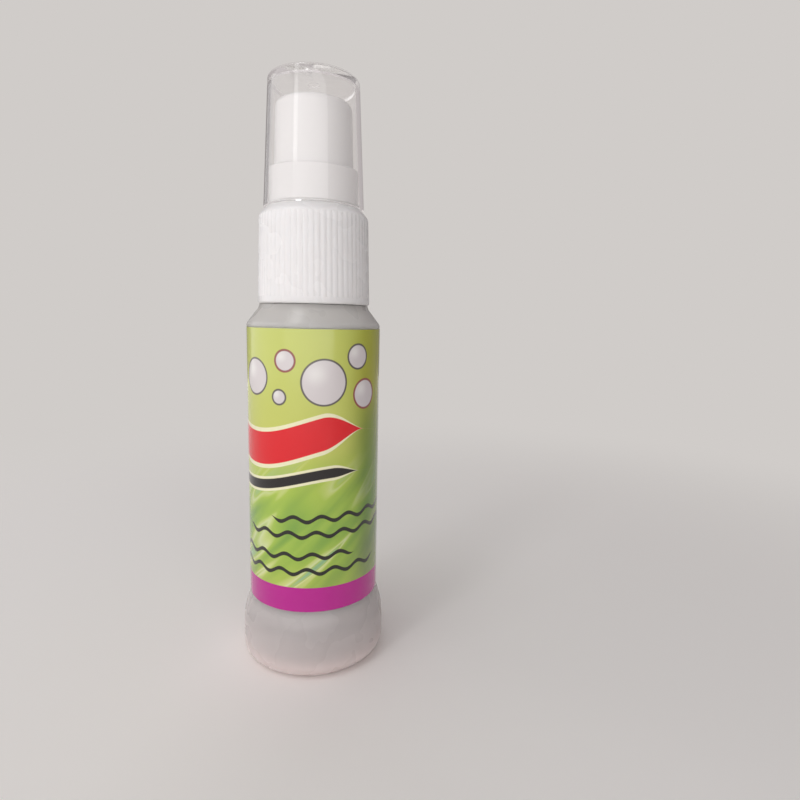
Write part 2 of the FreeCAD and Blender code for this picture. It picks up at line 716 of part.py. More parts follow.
def make_stem():
    """Hollow delivery stem; its lower bore grips the valve shank."""
    body = new_body("upper_stem")
    revolve(body, "Stem", [
        ("shank_radius + shank_fit", "stem_bottom"),
        ("stem_radius", "stem_bottom"),
        ("stem_radius", "stem_top"),
        ("stem_bore", "stem_top"),
        ("stem_bore", "socket_top"),
        ("shank_radius + shank_fit", "socket_top"),
    ])
    return body


def make_valve():
    """Valve: fluted shank, cone under the piston, spring seat and spigot."""
    body = new_body("valve_stem")
    revolve(body, "Valve", [
        ("0", "spring_top - spigot_length"),
        ("spigot_radius", "spring_top - spigot_length"),
        ("spigot_radius", "spring_top"),
        ("spring_seat_radius", "spring_top"),
        ("spring_seat_radius", "spring_top + spring_seat_thick"),
        ("valve_radius", "spring_top + spring_seat_thick"),
        ("valve_radius", "cone_bottom"),
        ("shank_radius", "cone_top"),
        ("shank_radius", "socket_top - valve_play"),
        ("0", "socket_top - valve_play"),
    ])
    outline = polygon(body, "FluteOutline", "XZ_Plane", [
        ("shank_radius - shank_flute_depth", "cone_top"),
        ("shank_radius + shank_flute_depth", "cone_top"),
        ("shank_radius + shank_flute_depth", "socket_top"),
        ("shank_radius - shank_flute_depth", "socket_top"),
    ])
    flute = extrude(body, "Flute", outline, "shank_flute_width", cut=True, both=True)
    polar(body, "Flutes", flute, "shank_flute_count")
    return body


def make_piston():
    """Piston with two lips, a cup for the stem's end and a conical valve seat."""
    body = new_body("piston")
    lip = "cylinder_bore - piston_fit"
    waist = "cylinder_bore - piston_fit - piston_waist"
    revolve(body, "Piston", [
        ("piston_cup", "piston_top"),
        (lip, "piston_top"),
        (lip, "piston_top - piston_lip"),
        (waist, "piston_top - piston_lip - piston_waist"),
        (waist, "piston_bottom + piston_lip + piston_waist"),
        (lip, "piston_bottom + piston_lip"),
        (lip, "piston_bottom"),
        ("piston_recess", "piston_bottom"),
        ("piston_recess", "seat_level + piston_hole - piston_recess"),
        ("piston_hole", "seat_level"),
        ("piston_hole", "cup_floor"),
        ("piston_cup", "cup_floor"),
    ])
    return body


def make_spring():
    """Return spring: flat end coils and half turns that each lie in a tilted plane.

    At both ends of a tilted half turn the wire runs along Y, so the chain of
    half turns bends smoothly, as a wound coil does.  The wire is drawn square
    across its corners, to keep the faces few.
    """
    wire = value("wire_radius")
    coil = value("coil_radius")
    low = value("ledge_spring + spring_play + wire_radius")
    high = value("spring_top - spring_play - wire_radius")
    halves = 2 * int(round(value("coil_turns")))
    rise = (high - low) / halves
    levels = [low, low, low] + [low + rise * (k + 1) for k in range(halves)] + [high, high]
    pieces = []
    for k in range(len(levels) - 1):
        side = 1 if k % 2 == 0 else -1
        start = V(side * coil, 0, levels[k])
        end = V(-side * coil, 0, levels[k + 1])
        centre = (start + end) * 0.5
        across = (start - centre).normalize()
        axis = across.cross(V(0, side, 0))
        section = [start + across * (wire * math.cos(math.radians(a)))
                   + axis * (wire * math.sin(math.radians(a))) for a in range(45, 406, 90)]
        face = Part.Face(Part.makePolygon(section))
        pieces.append(face.revolve(centre, axis, 180))
    spring = doc.addObject("Part::Feature", "return_spring")
    spring.Label = "return_spring"
    spring.Shape = pieces[0].multiFuse(pieces[1:]).removeSplitter()
    return spring


def make_button():
    """Push button: tapered hollow skirt, dished top, stem boss and nozzle block."""
    body = new_body("actuator")
    inner_top = "button_top_radius - button_wall"
    revolve(body, "Blank", [
        ("0", "boss_bottom"),
        ("boss_radius", "boss_bottom"),
        ("boss_radius", "button_ceiling"),
        (inner_top, "button_ceiling"),
        ("button_radius - button_wall", "button_bottom"),
        ("button_radius", "button_bottom"),
        ("button_top_radius", "button_top"),
        ("0", "button_top"),
    ])
    soften(body, "TopEdge", "button_round", [("button_top_radius", "button_top")])
    revolve(body, "Dish", [
        ("0", "button_top - dish_depth"),
        ("dish_radius", "button_top"),
        ("0", "button_top"),
    ], cut=True)
    block = circles(body, "BlockOutline", "XZ_Plane", "0", "nozzle_level",
                    ["nozzle_block"])
    extrude(body, "Block", block, "nozzle_block_reach", back=True)
    revolve(body, "StemSocket", [
        ("0", "boss_bottom"),
        ("stem_radius + stem_grip_fit", "boss_bottom"),
        ("stem_radius + stem_grip_fit", "stem_top"),
        ("stem_bore", "stem_top"),
        ("stem_bore", "chamber_top"),
        ("0", "chamber_top"),
    ], cut=True)
    # The pocket is cut from outside: a full recess ahead of the post, then a ring.
    front = new_sketch(body, "PocketOutline", "XZ_Plane")
    place_pocket(body, front, "nozzle_post_reach")
    fill_circles(front, ["nozzle_pocket"])
    extrude(body, "Pocket", front, "nozzle_pocket + nozzle_post", cut=True)
    deep = new_sketch(body, "PostOutline", "XZ_Plane")
    place_pocket(body, deep, "nozzle_floor")
    fill_circles(deep, ["nozzle_pocket", "nozzle_post"])
    extrude(body, "Post", deep, "nozzle_pocket + nozzle_post", cut=True)
    lift = "nozzle_level + (nozzle_pocket + nozzle_post) / 2"
    feed = circles(body, "FeedOutline", "XZ_Plane", "0", lift, ["channel_radius"])
    extrude(body, "Feed", feed, "nozzle_floor + channel_radius", cut=True)
    return body


def place_pocket(body, sketch, reach):
    """Sets a sketch of the spray face at a distance from the axis."""
    sketch.AttachmentOffset = FreeCAD.Placement(
        V(0, value("nozzle_level"), -value(reach)), FreeCAD.Rotation())
    sketch.setExpression("AttachmentOffset.Base.y", bound("nozzle_level"))
    sketch.setExpression("AttachmentOffset.Base.z", bound("-" + reach))


def fill_circles(sketch, radii):
    """Circles about the sketch's own origin."""
    for k, radius in enumerate(radii):
        sketch.addGeometry(Part.Circle(V(0, 0, 0), V(0, 0, 1), value(radius)), False)
        sketch.addConstraint(Sketcher.Constraint("Coincident", k, 3, -1, 1))
        row = sketch.addConstraint(Sketcher.Constraint("Radius", k, value(radius)))
        sketch.setExpression(f"Constraints[{row}]", bound(radius))


def make_nozzle():
    """Nozzle insert: a small cup with an orifice, its own axis turned to +Y."""
    body = new_body("nozzle_insert")
    outer = "nozzle_pocket - nozzle_fit"
    inner = "nozzle_post + nozzle_fit"
    revolve(body, "Cup", [
        ("nozzle_orifice", "0"),
        (outer, "0"),
        (outer, "nozzle_floor - nozzle_face + nozzle_fit"),
        (inner, "nozzle_floor - nozzle_face + nozzle_fit"),
        (inner, "-nozzle_plate"),
        ("nozzle_orifice", "-nozzle_plate"),
    ])
    revolve(body, "Mouth", [
        ("0", "-nozzle_dish_depth"),
        ("nozzle_orifice", "-nozzle_dish_depth"),
        ("nozzle_dish", "0"),
        ("0", "0"),
    ], cut=True)
    body.Placement = FreeCAD.Placement(
        V(0, value("nozzle_face"), value("nozzle_level")),
        FreeCAD.Rotation(V(1, 0, 0), -90))
    body.setExpression("Placement.Base.y", bound("nozzle_face"))
    body.setExpression("Placement.Base.z", bound("nozzle_level"))
    return body


def make_overcap():
    """Clear tapered overcap with a gate dimple in its top."""
    body = new_body("overcap")
    revolve(body, "Blank", [
        ("cap_inside", "cap_rim"),
        ("cap_radius", "cap_rim"),
        ("cap_top_radius", "cap_top"),
        ("0", "cap_top"),
        ("0", "cap_top - cap_plate"),
        ("cap_top_radius - cap_wall - cap_inside_edge", "cap_top - cap_plate"),
        ("cap_top_radius - cap_wall", "cap_top - cap_plate - cap_inside_edge"),
    ])
    soften(body, "TopEdge", "cap_round", [("cap_top_radius", "cap_top")])
    revolve(body, "Gate", [
        ("0", "cap_top - gate_depth"),
        ("gate_radius", "cap_top - gate_depth"),
        ("gate_radius", "cap_top"),
        ("0", "cap_top"),
    ], cut=True)
    return body


def check_and_write(parts):
    """Stops on any failed object or bad shape, then writes one STEP file a piece."""
    doc.recompute()
    for item in doc.Objects:
        if "Invalid" in item.State or "Error" in item.State:
            raise RuntimeError(f"{item.Label} did not build: {item.State}")
    os.makedirs(OUT, exist_ok=True)
    for part in parts:
        shape = part.Shape
        if shape.isNull() or not shape.isValid() or len(shape.Solids) != 1:
            raise RuntimeError(f"{part.Label} is not one valid solid")
    for part in parts:
        part.Shape.exportStep(os.path.join(OUT, part.Label + ".step"))
        print(f"{part.Label:16s} {part.Shape.Volume:10.2f} mm3")


PARTS = [
    make_bottle(),
    make_label(),
    make_liquid(),
    make_closure(),
    make_gasket(),
    make_housing(),
    make_ball(),
    make_dip_tube(),
    make_collar(),
    make_stem(),
    make_valve(),
    make_piston(),
    make_spring(),
    make_button(),
    make_nozzle(),
    make_overcap(),
]
check_and_write(PARTS)
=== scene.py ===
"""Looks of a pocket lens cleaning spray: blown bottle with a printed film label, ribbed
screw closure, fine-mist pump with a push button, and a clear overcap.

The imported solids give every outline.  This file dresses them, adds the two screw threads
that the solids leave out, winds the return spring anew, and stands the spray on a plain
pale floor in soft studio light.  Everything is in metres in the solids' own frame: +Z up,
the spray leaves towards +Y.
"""
import logging
import math
from dataclasses import dataclass, field
from enum import Enum
from typing import Dict, List, Mapping, Optional, Sequence, Tuple, Union

import bmesh
import bpy
from mathutils import Matrix, Vector


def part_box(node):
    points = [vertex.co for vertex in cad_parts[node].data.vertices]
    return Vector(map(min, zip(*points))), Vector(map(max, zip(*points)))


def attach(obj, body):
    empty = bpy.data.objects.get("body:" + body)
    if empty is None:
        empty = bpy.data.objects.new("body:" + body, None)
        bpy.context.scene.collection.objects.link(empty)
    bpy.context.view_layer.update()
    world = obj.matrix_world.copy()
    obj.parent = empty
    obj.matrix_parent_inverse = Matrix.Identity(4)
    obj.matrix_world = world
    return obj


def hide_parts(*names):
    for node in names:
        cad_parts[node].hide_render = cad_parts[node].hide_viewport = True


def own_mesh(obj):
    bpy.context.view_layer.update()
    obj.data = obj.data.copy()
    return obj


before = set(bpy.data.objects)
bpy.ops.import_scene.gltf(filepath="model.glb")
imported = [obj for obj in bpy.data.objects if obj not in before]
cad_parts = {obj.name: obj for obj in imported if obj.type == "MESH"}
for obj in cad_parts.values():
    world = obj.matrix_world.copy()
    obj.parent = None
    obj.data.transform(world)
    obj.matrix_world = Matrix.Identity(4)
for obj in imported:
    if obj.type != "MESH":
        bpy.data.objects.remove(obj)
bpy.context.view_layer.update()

LOG = logging.getLogger("lens_cleaning_spray")
MM = 0.001

# Eight turns to the inch, which the neck and the closure share.
PITCH_MM = 3.175

# Ray depths are whole numbers: none yet is below the first of these, and more than two is
# above the second.
NOT_ONCE = 0.5
OVER_TWICE = 2.5

# Most of a noise lies between these two.
NOISE_SPAN = (0.3, 0.7)

# In milky plastic red light travels a little farther than green, and green than blue.
SCATTER = (1.0, 0.97, 0.95)

SMOOTH = {"interpolation_type": "SMOOTHSTEP"}

Colour = Tuple[float, float, float, float]
Span = Tuple[float, float]
Place = Tuple[float, float, float]
Stops = Tuple[Tuple[float, str], ...]
Tree = bpy.types.NodeTree
Socket = bpy.types.NodeSocket
Input = Union[float, Sequence[float], Socket]
Outputs = Mapping[Union[int, str], Socket]
Row = List[bmesh.types.BMVert]


def linear(colour: str) -> Colour:
    """Turns an sRGB hex colour into the linear one that shaders take.

    Args:
        colour: The colour as #RRGGBB.

    Returns:
        Red, green and blue, each from 0 to 1, and a full fourth channel.
    """
    channels = [int(colour[place:place + 2], 16) / 255 for place in (1, 3, 5)]
    red, green, blue = [
        c / 12.92 if c <= 0.04045 else ((c + 0.055) / 1.055) ** 2.4 for c in channels
    ]
    return red, green, blue, 1.0


def add_node(
    tree: Tree,
    kind: str,
    inputs: Optional[Dict[Union[int, str], Input]] = None,
    **settings: object,
) -> Outputs:
    """Adds one node, with its settings, its values and its links.

    Args:
        tree: The node tree that gets it.
        kind: Blender's name for the node type, after its ShaderNode.
        inputs: What goes into each input: a number, a vector, a colour or an output socket.
        settings: The node's own properties.

    Returns:
        The new node's outputs, by name.
    """
    node = tree.nodes.new("ShaderNode" + kind)
    for name, setting in settings.items():
        setattr(node, name, setting)
    for name, given in (inputs or {}).items():
        if isinstance(given, Socket):
            tree.links.new(given, node.inputs[name])
        else:
            node.inputs[name].default_value = given
    return node.outputs


def new_tree(name: str) -> Tuple[bpy.types.Material, Tree]:
    """Starts an empty material.

    Args:
        name: The material's name.

    Returns:
        The material and its node tree, cleared.
    """
    material = bpy.data.materials.new(name)
    material.use_nodes = True
    material.node_tree.nodes.clear()
    return material, material.node_tree


def fill_ramp(node: bpy.types.Node, stops: Stops) -> None:
    """Sets a colour ramp's stops.

    Args:
        node: The colour ramp node.
        stops: Each stop's place from 0 to 1 and its hex colour.
    """
    elements = node.color_ramp.elements
    while len(elements) > 1:
        elements.remove(elements[-1])
    elements[0].position = stops[0][0]
    elements[0].color = linear(stops[0][1])
    for place, colour in stops[1:]:
        elements.new(place).color = linear(colour)


class Grain(Enum):
    """How a mould or a tool left the surface, and so what its relief looks like."""

    POLISHED = "polished"
    SPARKED = "sparked"
    BLOWN = "blown"
    FOAMED = "foamed"
    DRAWN = "drawn"


@dataclass(frozen=True)
class Relief:
    """A fine relief: the size of its grain and its depth, both real."""

    grain_mm: float
    depth_mm: float
    stretch: Place = (1.0, 1.0, 1.0)


# A polished tool leaves only a slow waviness from shrinkage, a sparked one a fine even
# grit, blowing a soft ripple, foam its cells, and drawing runs along the piece.  The
# grit is drawn at about twice its real 0.1 mm, so that it still shows.
RELIEFS: Dict[Grain, Relief] = {
    Grain.POLISHED: Relief(3.0, 0.006),
    Grain.SPARKED: Relief(0.22, 0.001),
    Grain.BLOWN: Relief(2.6, 0.004),
    Grain.FOAMED: Relief(0.25, 0.05),
    Grain.DRAWN: Relief(0.3, 0.004, (1.0, 1.0, 0.05)),
}


@dataclass(frozen=True)
class Plastic:
    """One opaque or milky material, as a single surface shader.

    Its colour drifts a little over some millimetres, as real mouldings do, and the
    roughness drifts with it.
    """

    name: str
    colour: str
    drift_colour: str
    grain: Grain
    roughness: float
    roughness_drift: float = 0.05
    ior: float = 1.49
    drift_mm: float = 7.0
    subsurface: float = 0.0
    scatter_mm: float = 0.6
    metallic: float = 0.0
    edge_mm: float = 0.15
    # A painted warm reflection towards the foot: its tint, and the levels where it starts and
    # where it is full.
    foot_reflection_colour: str = ""
    foot_reflection_from_mm: float = 24.0
    foot_reflection_full_mm: float = 8.0

    def material(self) -> bpy.types.Material:
        """Builds the node material.

        Returns:
            The material.
        """
        material, tree = new_tree(self.name)
        place = add_node(tree, "TexCoord")["Object"]
        drift = add_node(tree, "TexNoise", {
            "Vector": place, "Scale": 1 / (self.drift_mm * MM), "Detail": 2.0,
        })["Fac"]
        colour = add_node(tree, "Mix", {
            0: drift, 6: linear(self.colour), 7: linear(self.drift_colour),
        }, data_type="RGBA")[2]
        # Painted reflection: a warm pinkish tint blended in towards the foot.
        if self.foot_reflection_colour:
            height = add_node(tree, "SeparateXYZ", {0: place})["Z"]
            warm_reflection = add_node(tree, "MapRange", {
                "Value": height, "From Min": self.foot_reflection_from_mm * MM,
                "From Max": self.foot_reflection_full_mm * MM,
            }, **SMOOTH)["Result"]
            colour = add_node(tree, "Mix", {
                0: warm_reflection, 6: colour, 7: linear(self.foot_reflection_colour),
            }, data_type="RGBA")[2]
        rough = add_node(tree, "MapRange", {
            "Value": drift, "From Min": NOISE_SPAN[0], "From Max": NOISE_SPAN[1],
            "To Min": self.roughness - self.roughness_drift,
            "To Max": self.roughness + self.roughness_drift,
        })["Result"]
        relief = RELIEFS[self.grain]
        stretched = add_node(tree, "Mapping", {
            "Vector": place, "Scale": relief.stretch,
        })["Vector"]
        grit = add_node(tree, "TexNoise", {
            "Vector": stretched, "Scale": 1 / (relief.grain_mm * MM), "Detail": 3.0,
        })["Fac"]
        worn = add_node(tree, "Bevel", {"Radius": self.edge_mm * MM}, samples=4)["Normal"]
        bump = add_node(tree, "Bump", {
            "Height": grit, "Distance": relief.depth_mm * MM,
            "Normal": worn,
        })["Normal"]
        skin = add_node(tree, "BsdfPrincipled", {
            "Base Color": colour, "Roughness": rough, "Normal": bump, "IOR": self.ior,
            "Metallic": self.metallic, "Subsurface Weight": self.subsurface,
            "Subsurface Radius": SCATTER, "Subsurface Scale": self.scatter_mm * MM,
        })["BSDF"]
        add_node(tree, "OutputMaterial", {"Surface": skin})
        return material


# Polypropylene, filled white and moulded in a lightly sparked tool: an even, faintly
# waxy white, with window light seen as broad soft patches.
WHITE_POLYPROPYLENE = Plastic(
    "white_polypropylene_moulded", "#F3F0F0", "#F0EDED", Grain.SPARKED, 0.27, 0.03,
    subsurface=1.0, scatter_mm=1.8, edge_mm=0.05)

# The same resin in a polished cavity, as buttons have: a crisper sheen.
BUTTON_POLYPROPYLENE = Plastic(
    "white_polypropylene_polished", "#F2F0F1", "#EFEDEE", Grain.POLISHED, 0.22, 0.03,
    subsurface=0.12, scatter_mm=0.5)

# High-density polyethylene without pigment, extrusion blown: greyish and milky, light
# goes in and comes out millimetres away, highlights are wide and soft.  Towards the
# foot the colour turns pinker: a painted warm reflection.
BLOWN_POLYETHYLENE = Plastic(
    "natural_polyethylene_blown", "#DDD7D0", "#D9D2CB", Grain.BLOWN, 0.27, 0.03,
    ior=1.54, subsurface=1.0, scatter_mm=7.5, foot_reflection_colour="#E3CDCA")

# Natural polypropylene, moulded: the housing's pale milky shine.
NATURAL_POLYPROPYLENE = Plastic(
    "natural_polypropylene_moulded", "#DDDAD3", "#D4D1CA", Grain.POLISHED, 0.3, 0.05,
    subsurface=0.4, scatter_mm=1.2)

# Low-density polyethylene, moulded: a soft, silky, slightly yellow milk.
PISTON_POLYETHYLENE = Plastic(
    "low_density_polyethylene_moulded", "#E4E1D6", "#DBD8CC", Grain.POLISHED, 0.42, 0.06,
    ior=1.51, subsurface=0.4, scatter_mm=1.0)

# Polyethylene tube, drawn through a die: fine streaks that run along it.
TUBE_POLYETHYLENE = Plastic(
    "polyethylene_tube_extruded", "#D9D9D4", "#CFCFCA", Grain.DRAWN, 0.3, 0.05,
    ior=1.51, subsurface=0.4, scatter_mm=1.0)

# Expanded polyethylene, die cut from sheet: matt, with cells that show at its edge.
FOAM_POLYETHYLENE = Plastic(
    "polyethylene_foam_cut", "#ECEAE5", "#DAD8D2", Grain.FOAMED, 0.7, 0.1,
    ior=1.5, drift_mm=0.4)

# Stainless spring steel, cold drawn: a bright metal with fine marks along the wire.
SPRING_STEEL = Plastic(
    "stainless_steel_drawn", "#C9C6C1", "#BDBAB5", Grain.DRAWN, 0.24, 0.06,
    ior=1.5, metallic=1.0)


@dataclass(frozen=True)
class ClearPolypropylene:
    """Clarified polypropylene in a polished tool: almost water clear.

    It bends what is behind it and darkens at its outline, where the eye looks
    along the wall.  Lamps shine through it on what it covers, and light that bounces
    about inside the wall gets out again.
    """

    name: str = "clear_polypropylene_polished"
    colour: str = "#FDFCFC"
    lamp_way: str = "#FEFEFD"
    roughness: float = 0.035
    haze_drift: float = 0.4
    relief_share: float = 0.5
    ior: float = 1.49
    corner_radius_mm: float = 7.6
    corner_below_mm: float = 1.4
    corner_half_height_mm: float = 0.26
    corner_half_width_mm: float = 0.3
    corner_roughness: float = 0.45

    def material(self) -> bpy.types.Material:
        """Builds the node material.

        Returns:
            The material.
        """
        material, tree = new_tree(self.name)
        place = add_node(tree, "TexCoord")["Object"]
        relief = RELIEFS[Grain.POLISHED]
        wave = add_node(tree, "TexNoise", {
            "Vector": place, "Scale": 1 / (relief.grain_mm * MM), "Detail": 1.0,
        })["Fac"]
        haze = add_node(tree, "MapRange", {
            "Value": wave, "To Min": self.roughness * (1 - self.haze_drift),
            "To Max": self.roughness * (1 + self.haze_drift),
        })["Result"]
        bump = add_node(tree, "Bump", {
            "Height": wave, "Distance": relief.depth_mm * self.relief_share * MM,
        })["Normal"]
        corner = self._corner(tree, place)
        rough = add_node(tree, "Mix", {0: corner, 2: haze, 3: self.corner_roughness})["Result"]
        body = add_node(tree, "BsdfPrincipled", {
            "Base Color": linear(self.colour), "Roughness": rough, "Normal": bump,
            "IOR": self.ior, "Transmission Weight": 1.0,
        })["BSDF"]
        lamp_way = add_node(tree, "BsdfTransparent", {"Color": linear(self.lamp_way)})["BSDF"]
        path = add_node(tree, "LightPath")
        lighting = add_node(tree, "Math", {
            0: path["Is Shadow Ray"], 1: path["Is Diffuse Ray"],
        }, operation="MAXIMUM")["Value"]
        trapped = add_node(tree, "Math", {
            0: path["Glossy Depth"], 1: OVER_TWICE,
        }, operation="GREATER_THAN")["Value"]
        straight = add_node(tree, "Math", {
            0: lighting, 1: trapped,
        }, operation="MAXIMUM")["Value"]
        mixed = add_node(tree, "MixShader", {0: straight, 1: body, 2: lamp_way})["Shader"]
        add_node(tree, "OutputMaterial", {"Surface": mixed})
        return material

    def _corner(self, tree: Tree, place: Socket) -> Socket:
        """Finds the inner corner under the top, where the mould's core is left satin.

        Args:
            tree: The material's node tree.
            place: The place on the solid.

        Returns:
            1 in the corner and 0 elsewhere.
        """
        level_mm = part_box("overcap")[1].z / MM - self.corner_below_mm
        split = add_node(tree, "SeparateXYZ", {0: place})
        level = add_node(tree, "Math", {
            0: split["Z"], 1: level_mm * MM, 2: self.corner_half_height_mm * MM,
        }, operation="COMPARE")["Value"]
        across = add_node(tree, "CombineXYZ", {"X": split["X"], "Y": split["Y"]})["Vector"]
        radius = add_node(tree, "VectorMath", {0: across}, operation="LENGTH")["Value"]
        ring = add_node(tree, "Math", {
            0: radius, 1: self.corner_radius_mm * MM, 2: self.corner_half_width_mm * MM,
        }, operation="COMPARE")["Value"]
        return add_node(tree, "Math", {0: level, 1: ring}, operation="MULTIPLY")["Value"]


@dataclass(frozen=True)
class CleaningLiquid:
    """Water with a little alcohol and soap: clear, with a faint cool tint."""

    name: str = "cleaning_liquid_clear"
    colour: str = "#EEF3F4"
    roughness: float = 0.02
    ior: float = 1.34
    ripple_mm: float = 4.0
    relief_mm: float = 0.02

    def material(self) -> bpy.types.Material:
        """Builds the node material.

        Returns:
            The material.
        """
        material, tree = new_tree(self.name)
        place = add_node(tree, "TexCoord")["Object"]
        ripple = add_node(tree, "TexNoise", {
            "Vector": place, "Scale": 1 / (self.ripple_mm * MM), "Detail": 0.0,
        })["Fac"]
        bump = add_node(tree, "Bump", {
            "Height": ripple, "Distance": self.relief_mm * MM,
        })["Normal"]
        body = add_node(tree, "BsdfPrincipled", {
            "Base Color": linear(self.colour), "Roughness": self.roughness,
            "Normal": bump, "IOR": self.ior, "Transmission Weight": 1.0,
        })["BSDF"]
        add_node(tree, "OutputMaterial", {"Surface": body})
        return material


@dataclass(frozen=True)
class Bubble:
    """One printed soap bubble on the label: where its centre is, and its colours."""

    around_mm: float
    height_mm: float
    radius_mm: float
    fill: str = "#DCD3DB"
    rim: str = "#4B4340"
    rim_mm: float = 0.3
    glint: str = "#EFEAEE"
    glint_aside: float = 0.35
    glint_reach: float = 0.7
    fill_share: float = 0.9
    rim_share: float = 0.92


@dataclass(frozen=True)
class Ribbon:
    """One printed ribbon that runs round the label on a wave and tapers to its ends."""

    height_mm: float
    half_mm: float
    colour: str
    swing_mm: float = 0.0
    wave_mm: float = 40.0
    phase: float = 0.0
    slope: float = 0.0
    starts_mm: float = -50.0
    ends_mm: float = 50.0
    taper_mm: float = 4.0
    halo_mm: float = 0.0
    halo: str = "#F3EFC8"


@dataclass(frozen=True)
class Unrolled:
    """The label laid flat: the node tree it is drawn in, and places on it in millimetres."""

    tree: Tree
    around: Socket
    height: Socket
    flat: Socket


@dataclass(frozen=True)
class PrintedFilm:
    """Polypropylene label film, offset printed and varnished: flat ink under a clear gloss.

    The print is a leaf-green wash with brush streaks, soap bubbles, two ribbons,
    ripples and a purple foot band.  Its deeper green to the right is partly print and
    partly painted shade.  Places on it are in millimetres: round the label from the
    front centre, and up from the foot.
    """

    name: str = "polypropylene_film_printed"
    radius_mm: float = 12.97
    bottom_mm: float = 13.4
    top_mm: float = 66.5
    lap_mm: float = 3.0
    lap_step_mm: float = 0.15
    fill_edge_mm: float = 0.12
    rim_edge_mm: Span = (0.08, -0.04)
    ribbon_edge_mm: Span = (-0.02, 0.1)
    band_edge_mm: float = 0.05
    relief_mm: float = 0.05
    waves_per_mm: float = 0.18
    ink_grains_per_mm: float = 2.2
    roughness: float = 0.2
    roughness_drift: float = 0.04
    ior: float = 1.49
    varnish: float = 0.4
    varnish_roughness: float = 0.12
    band: str = "#BC168F"
    band_top_mm: float = 18.2
    wash: Stops = (
        (0.0, "#CBC27A"), (0.10, "#BFC25E"), (0.20, "#A0BD45"), (0.31, "#98BC4C"),
        (0.43, "#B1C84D"), (0.60, "#C9CE66"), (1.0, "#C9D16C"),
    )
    # Deeper green for the right side: partly the print's darker streaks, partly painted shade
    # on the side away from the lamps.
    right_print_and_shade: Stops = (
        (0.0, "#8A9A66"), (0.18, "#7E8B59"), (0.36, "#5E8428"), (0.52, "#708C28"),
        (0.66, "#84962C"), (0.82, "#ACAC34"), (1.0, "#AEB23E"),
    )
    right_shade_rise_mm: Span = (2.0, 12.0)
    right_shade_fall_mm: Span = (38.0, 20.0)
    right_shade_fray: float = 0.5
    streaks: Stops = (
        (0.0, "#6F9B45"), (0.35, "#9ABB4C"), (0.50, "#ABC653"), (0.60, "#D3DD8C"),
        (0.68, "#E0E6B4"), (0.76, "#B4CB62"), (0.88, "#93BFA0"), (1.0, "#84B48C"),
    )
    streak_turn_deg: float = -42.0
    streak_scale: Place = (0.030, 0.17, 1.0)
    streak_spread: Span = (0.35, 0.65)
    streak_levels_mm: Span = (47.0, 30.0)
    streak_share: float = 0.75
    streak_right_share: float = 0.35
    streak_lap_share: float = 0.25
    streak_lap_mm: Span = (40.0, 32.0)
    bubbles: Tuple[Bubble, ...] = (
        Bubble(-12.6, 57.6, 3.5),
        Bubble(-5.4, 60.8, 2.1, rim="#8E3A33", rim_mm=0.35),
        Bubble(-6.6, 54.2, 1.5),
        Bubble(1.8, 57.0, 4.3),
        Bubble(8.6, 61.6, 2.4),
        Bubble(10.4, 54.6, 2.9, rim="#8E3A33", rim_mm=0.35),
        Bubble(26.0, 55.5, 3.8),
        Bubble(33.5, 60.0, 2.2, rim="#8E3A33", rim_mm=0.35),
        Bubble(-22.5, 60.2, 2.6),
        Bubble(-30.0, 55.8, 4.0),
        Bubble(-37.0, 60.8, 2.0, rim="#8E3A33", rim_mm=0.35),
    )
    ribbons: Tuple[Ribbon, ...] = (
        Ribbon(46.4, 3.1, "#E20F1D", 1.5, 34.0, 0.5, 0.05, -38.0, 10.5, 9.0, 0.75),
        Ribbon(39.0, 0.95, "#171211", 1.1, 34.0, 0.9, 0.05, -38.0, 9.5, 6.0, 0.5),
        Ribbon(31.6, 0.42, "#1F1E14", 0.5, 5.2, 0.0, 0.02, -9.0, 38.0, 2.5),
        Ribbon(28.6, 0.42, "#1F1E14", 0.5, 5.2, 1.2, 0.02, -16.0, 38.0, 2.5),
        Ribbon(24.4, 0.42, "#1F1E14", 0.5, 5.2, 2.1, 0.02, -38.0, 8.5, 2.5),
        Ribbon(21.4, 0.42, "#1F1E14", 0.5, 5.2, 3.3, 0.02, -38.0, 14.5, 2.5),
    )

    def material(self) -> bpy.types.Material:
        """Builds the node material.

        Returns:
            The material.
        """
        material, tree = new_tree(self.name)
        label = self._unroll(tree)
        colour = self._wash(label)
        for ribbon in self.ribbons:
            colour = self._lay_ribbon(label, colour, ribbon)
        for bubble in self.bubbles:
            colour = self._lay_bubble(label, colour, bubble)
        colour = self._foot_band(label, colour)
        ink = add_node(tree, "TexNoise", {
            "Vector": label.flat, "Scale": self.ink_grains_per_mm, "Detail": 2.0,
        })["Fac"]
        rough = add_node(tree, "MapRange", {
            "Value": ink, "To Min": self.roughness - self.roughness_drift,
            "To Max": self.roughness + self.roughness_drift,
        })["Result"]
        laid = add_node(tree, "TexNoise", {
            "Vector": label.flat, "Scale": self.waves_per_mm, "Detail": 1.0,
        })["Fac"]
        raised = add_node(tree, "Math", {
            0: laid, 1: self._seam(label),
        }, operation="ADD")["Value"]
        bump = add_node(tree, "Bump", {
            "Height": raised, "Distance": self.relief_mm * MM,
        })["Normal"]
        skin = add_node(tree, "BsdfPrincipled", {
            "Base Color": colour, "Roughness": rough, "Normal": bump, "IOR": self.ior,
            "Coat Weight": self.varnish, "Coat Roughness": self.varnish_roughness,
        })["BSDF"]
        add_node(tree, "OutputMaterial", {"Surface": skin})
        return material

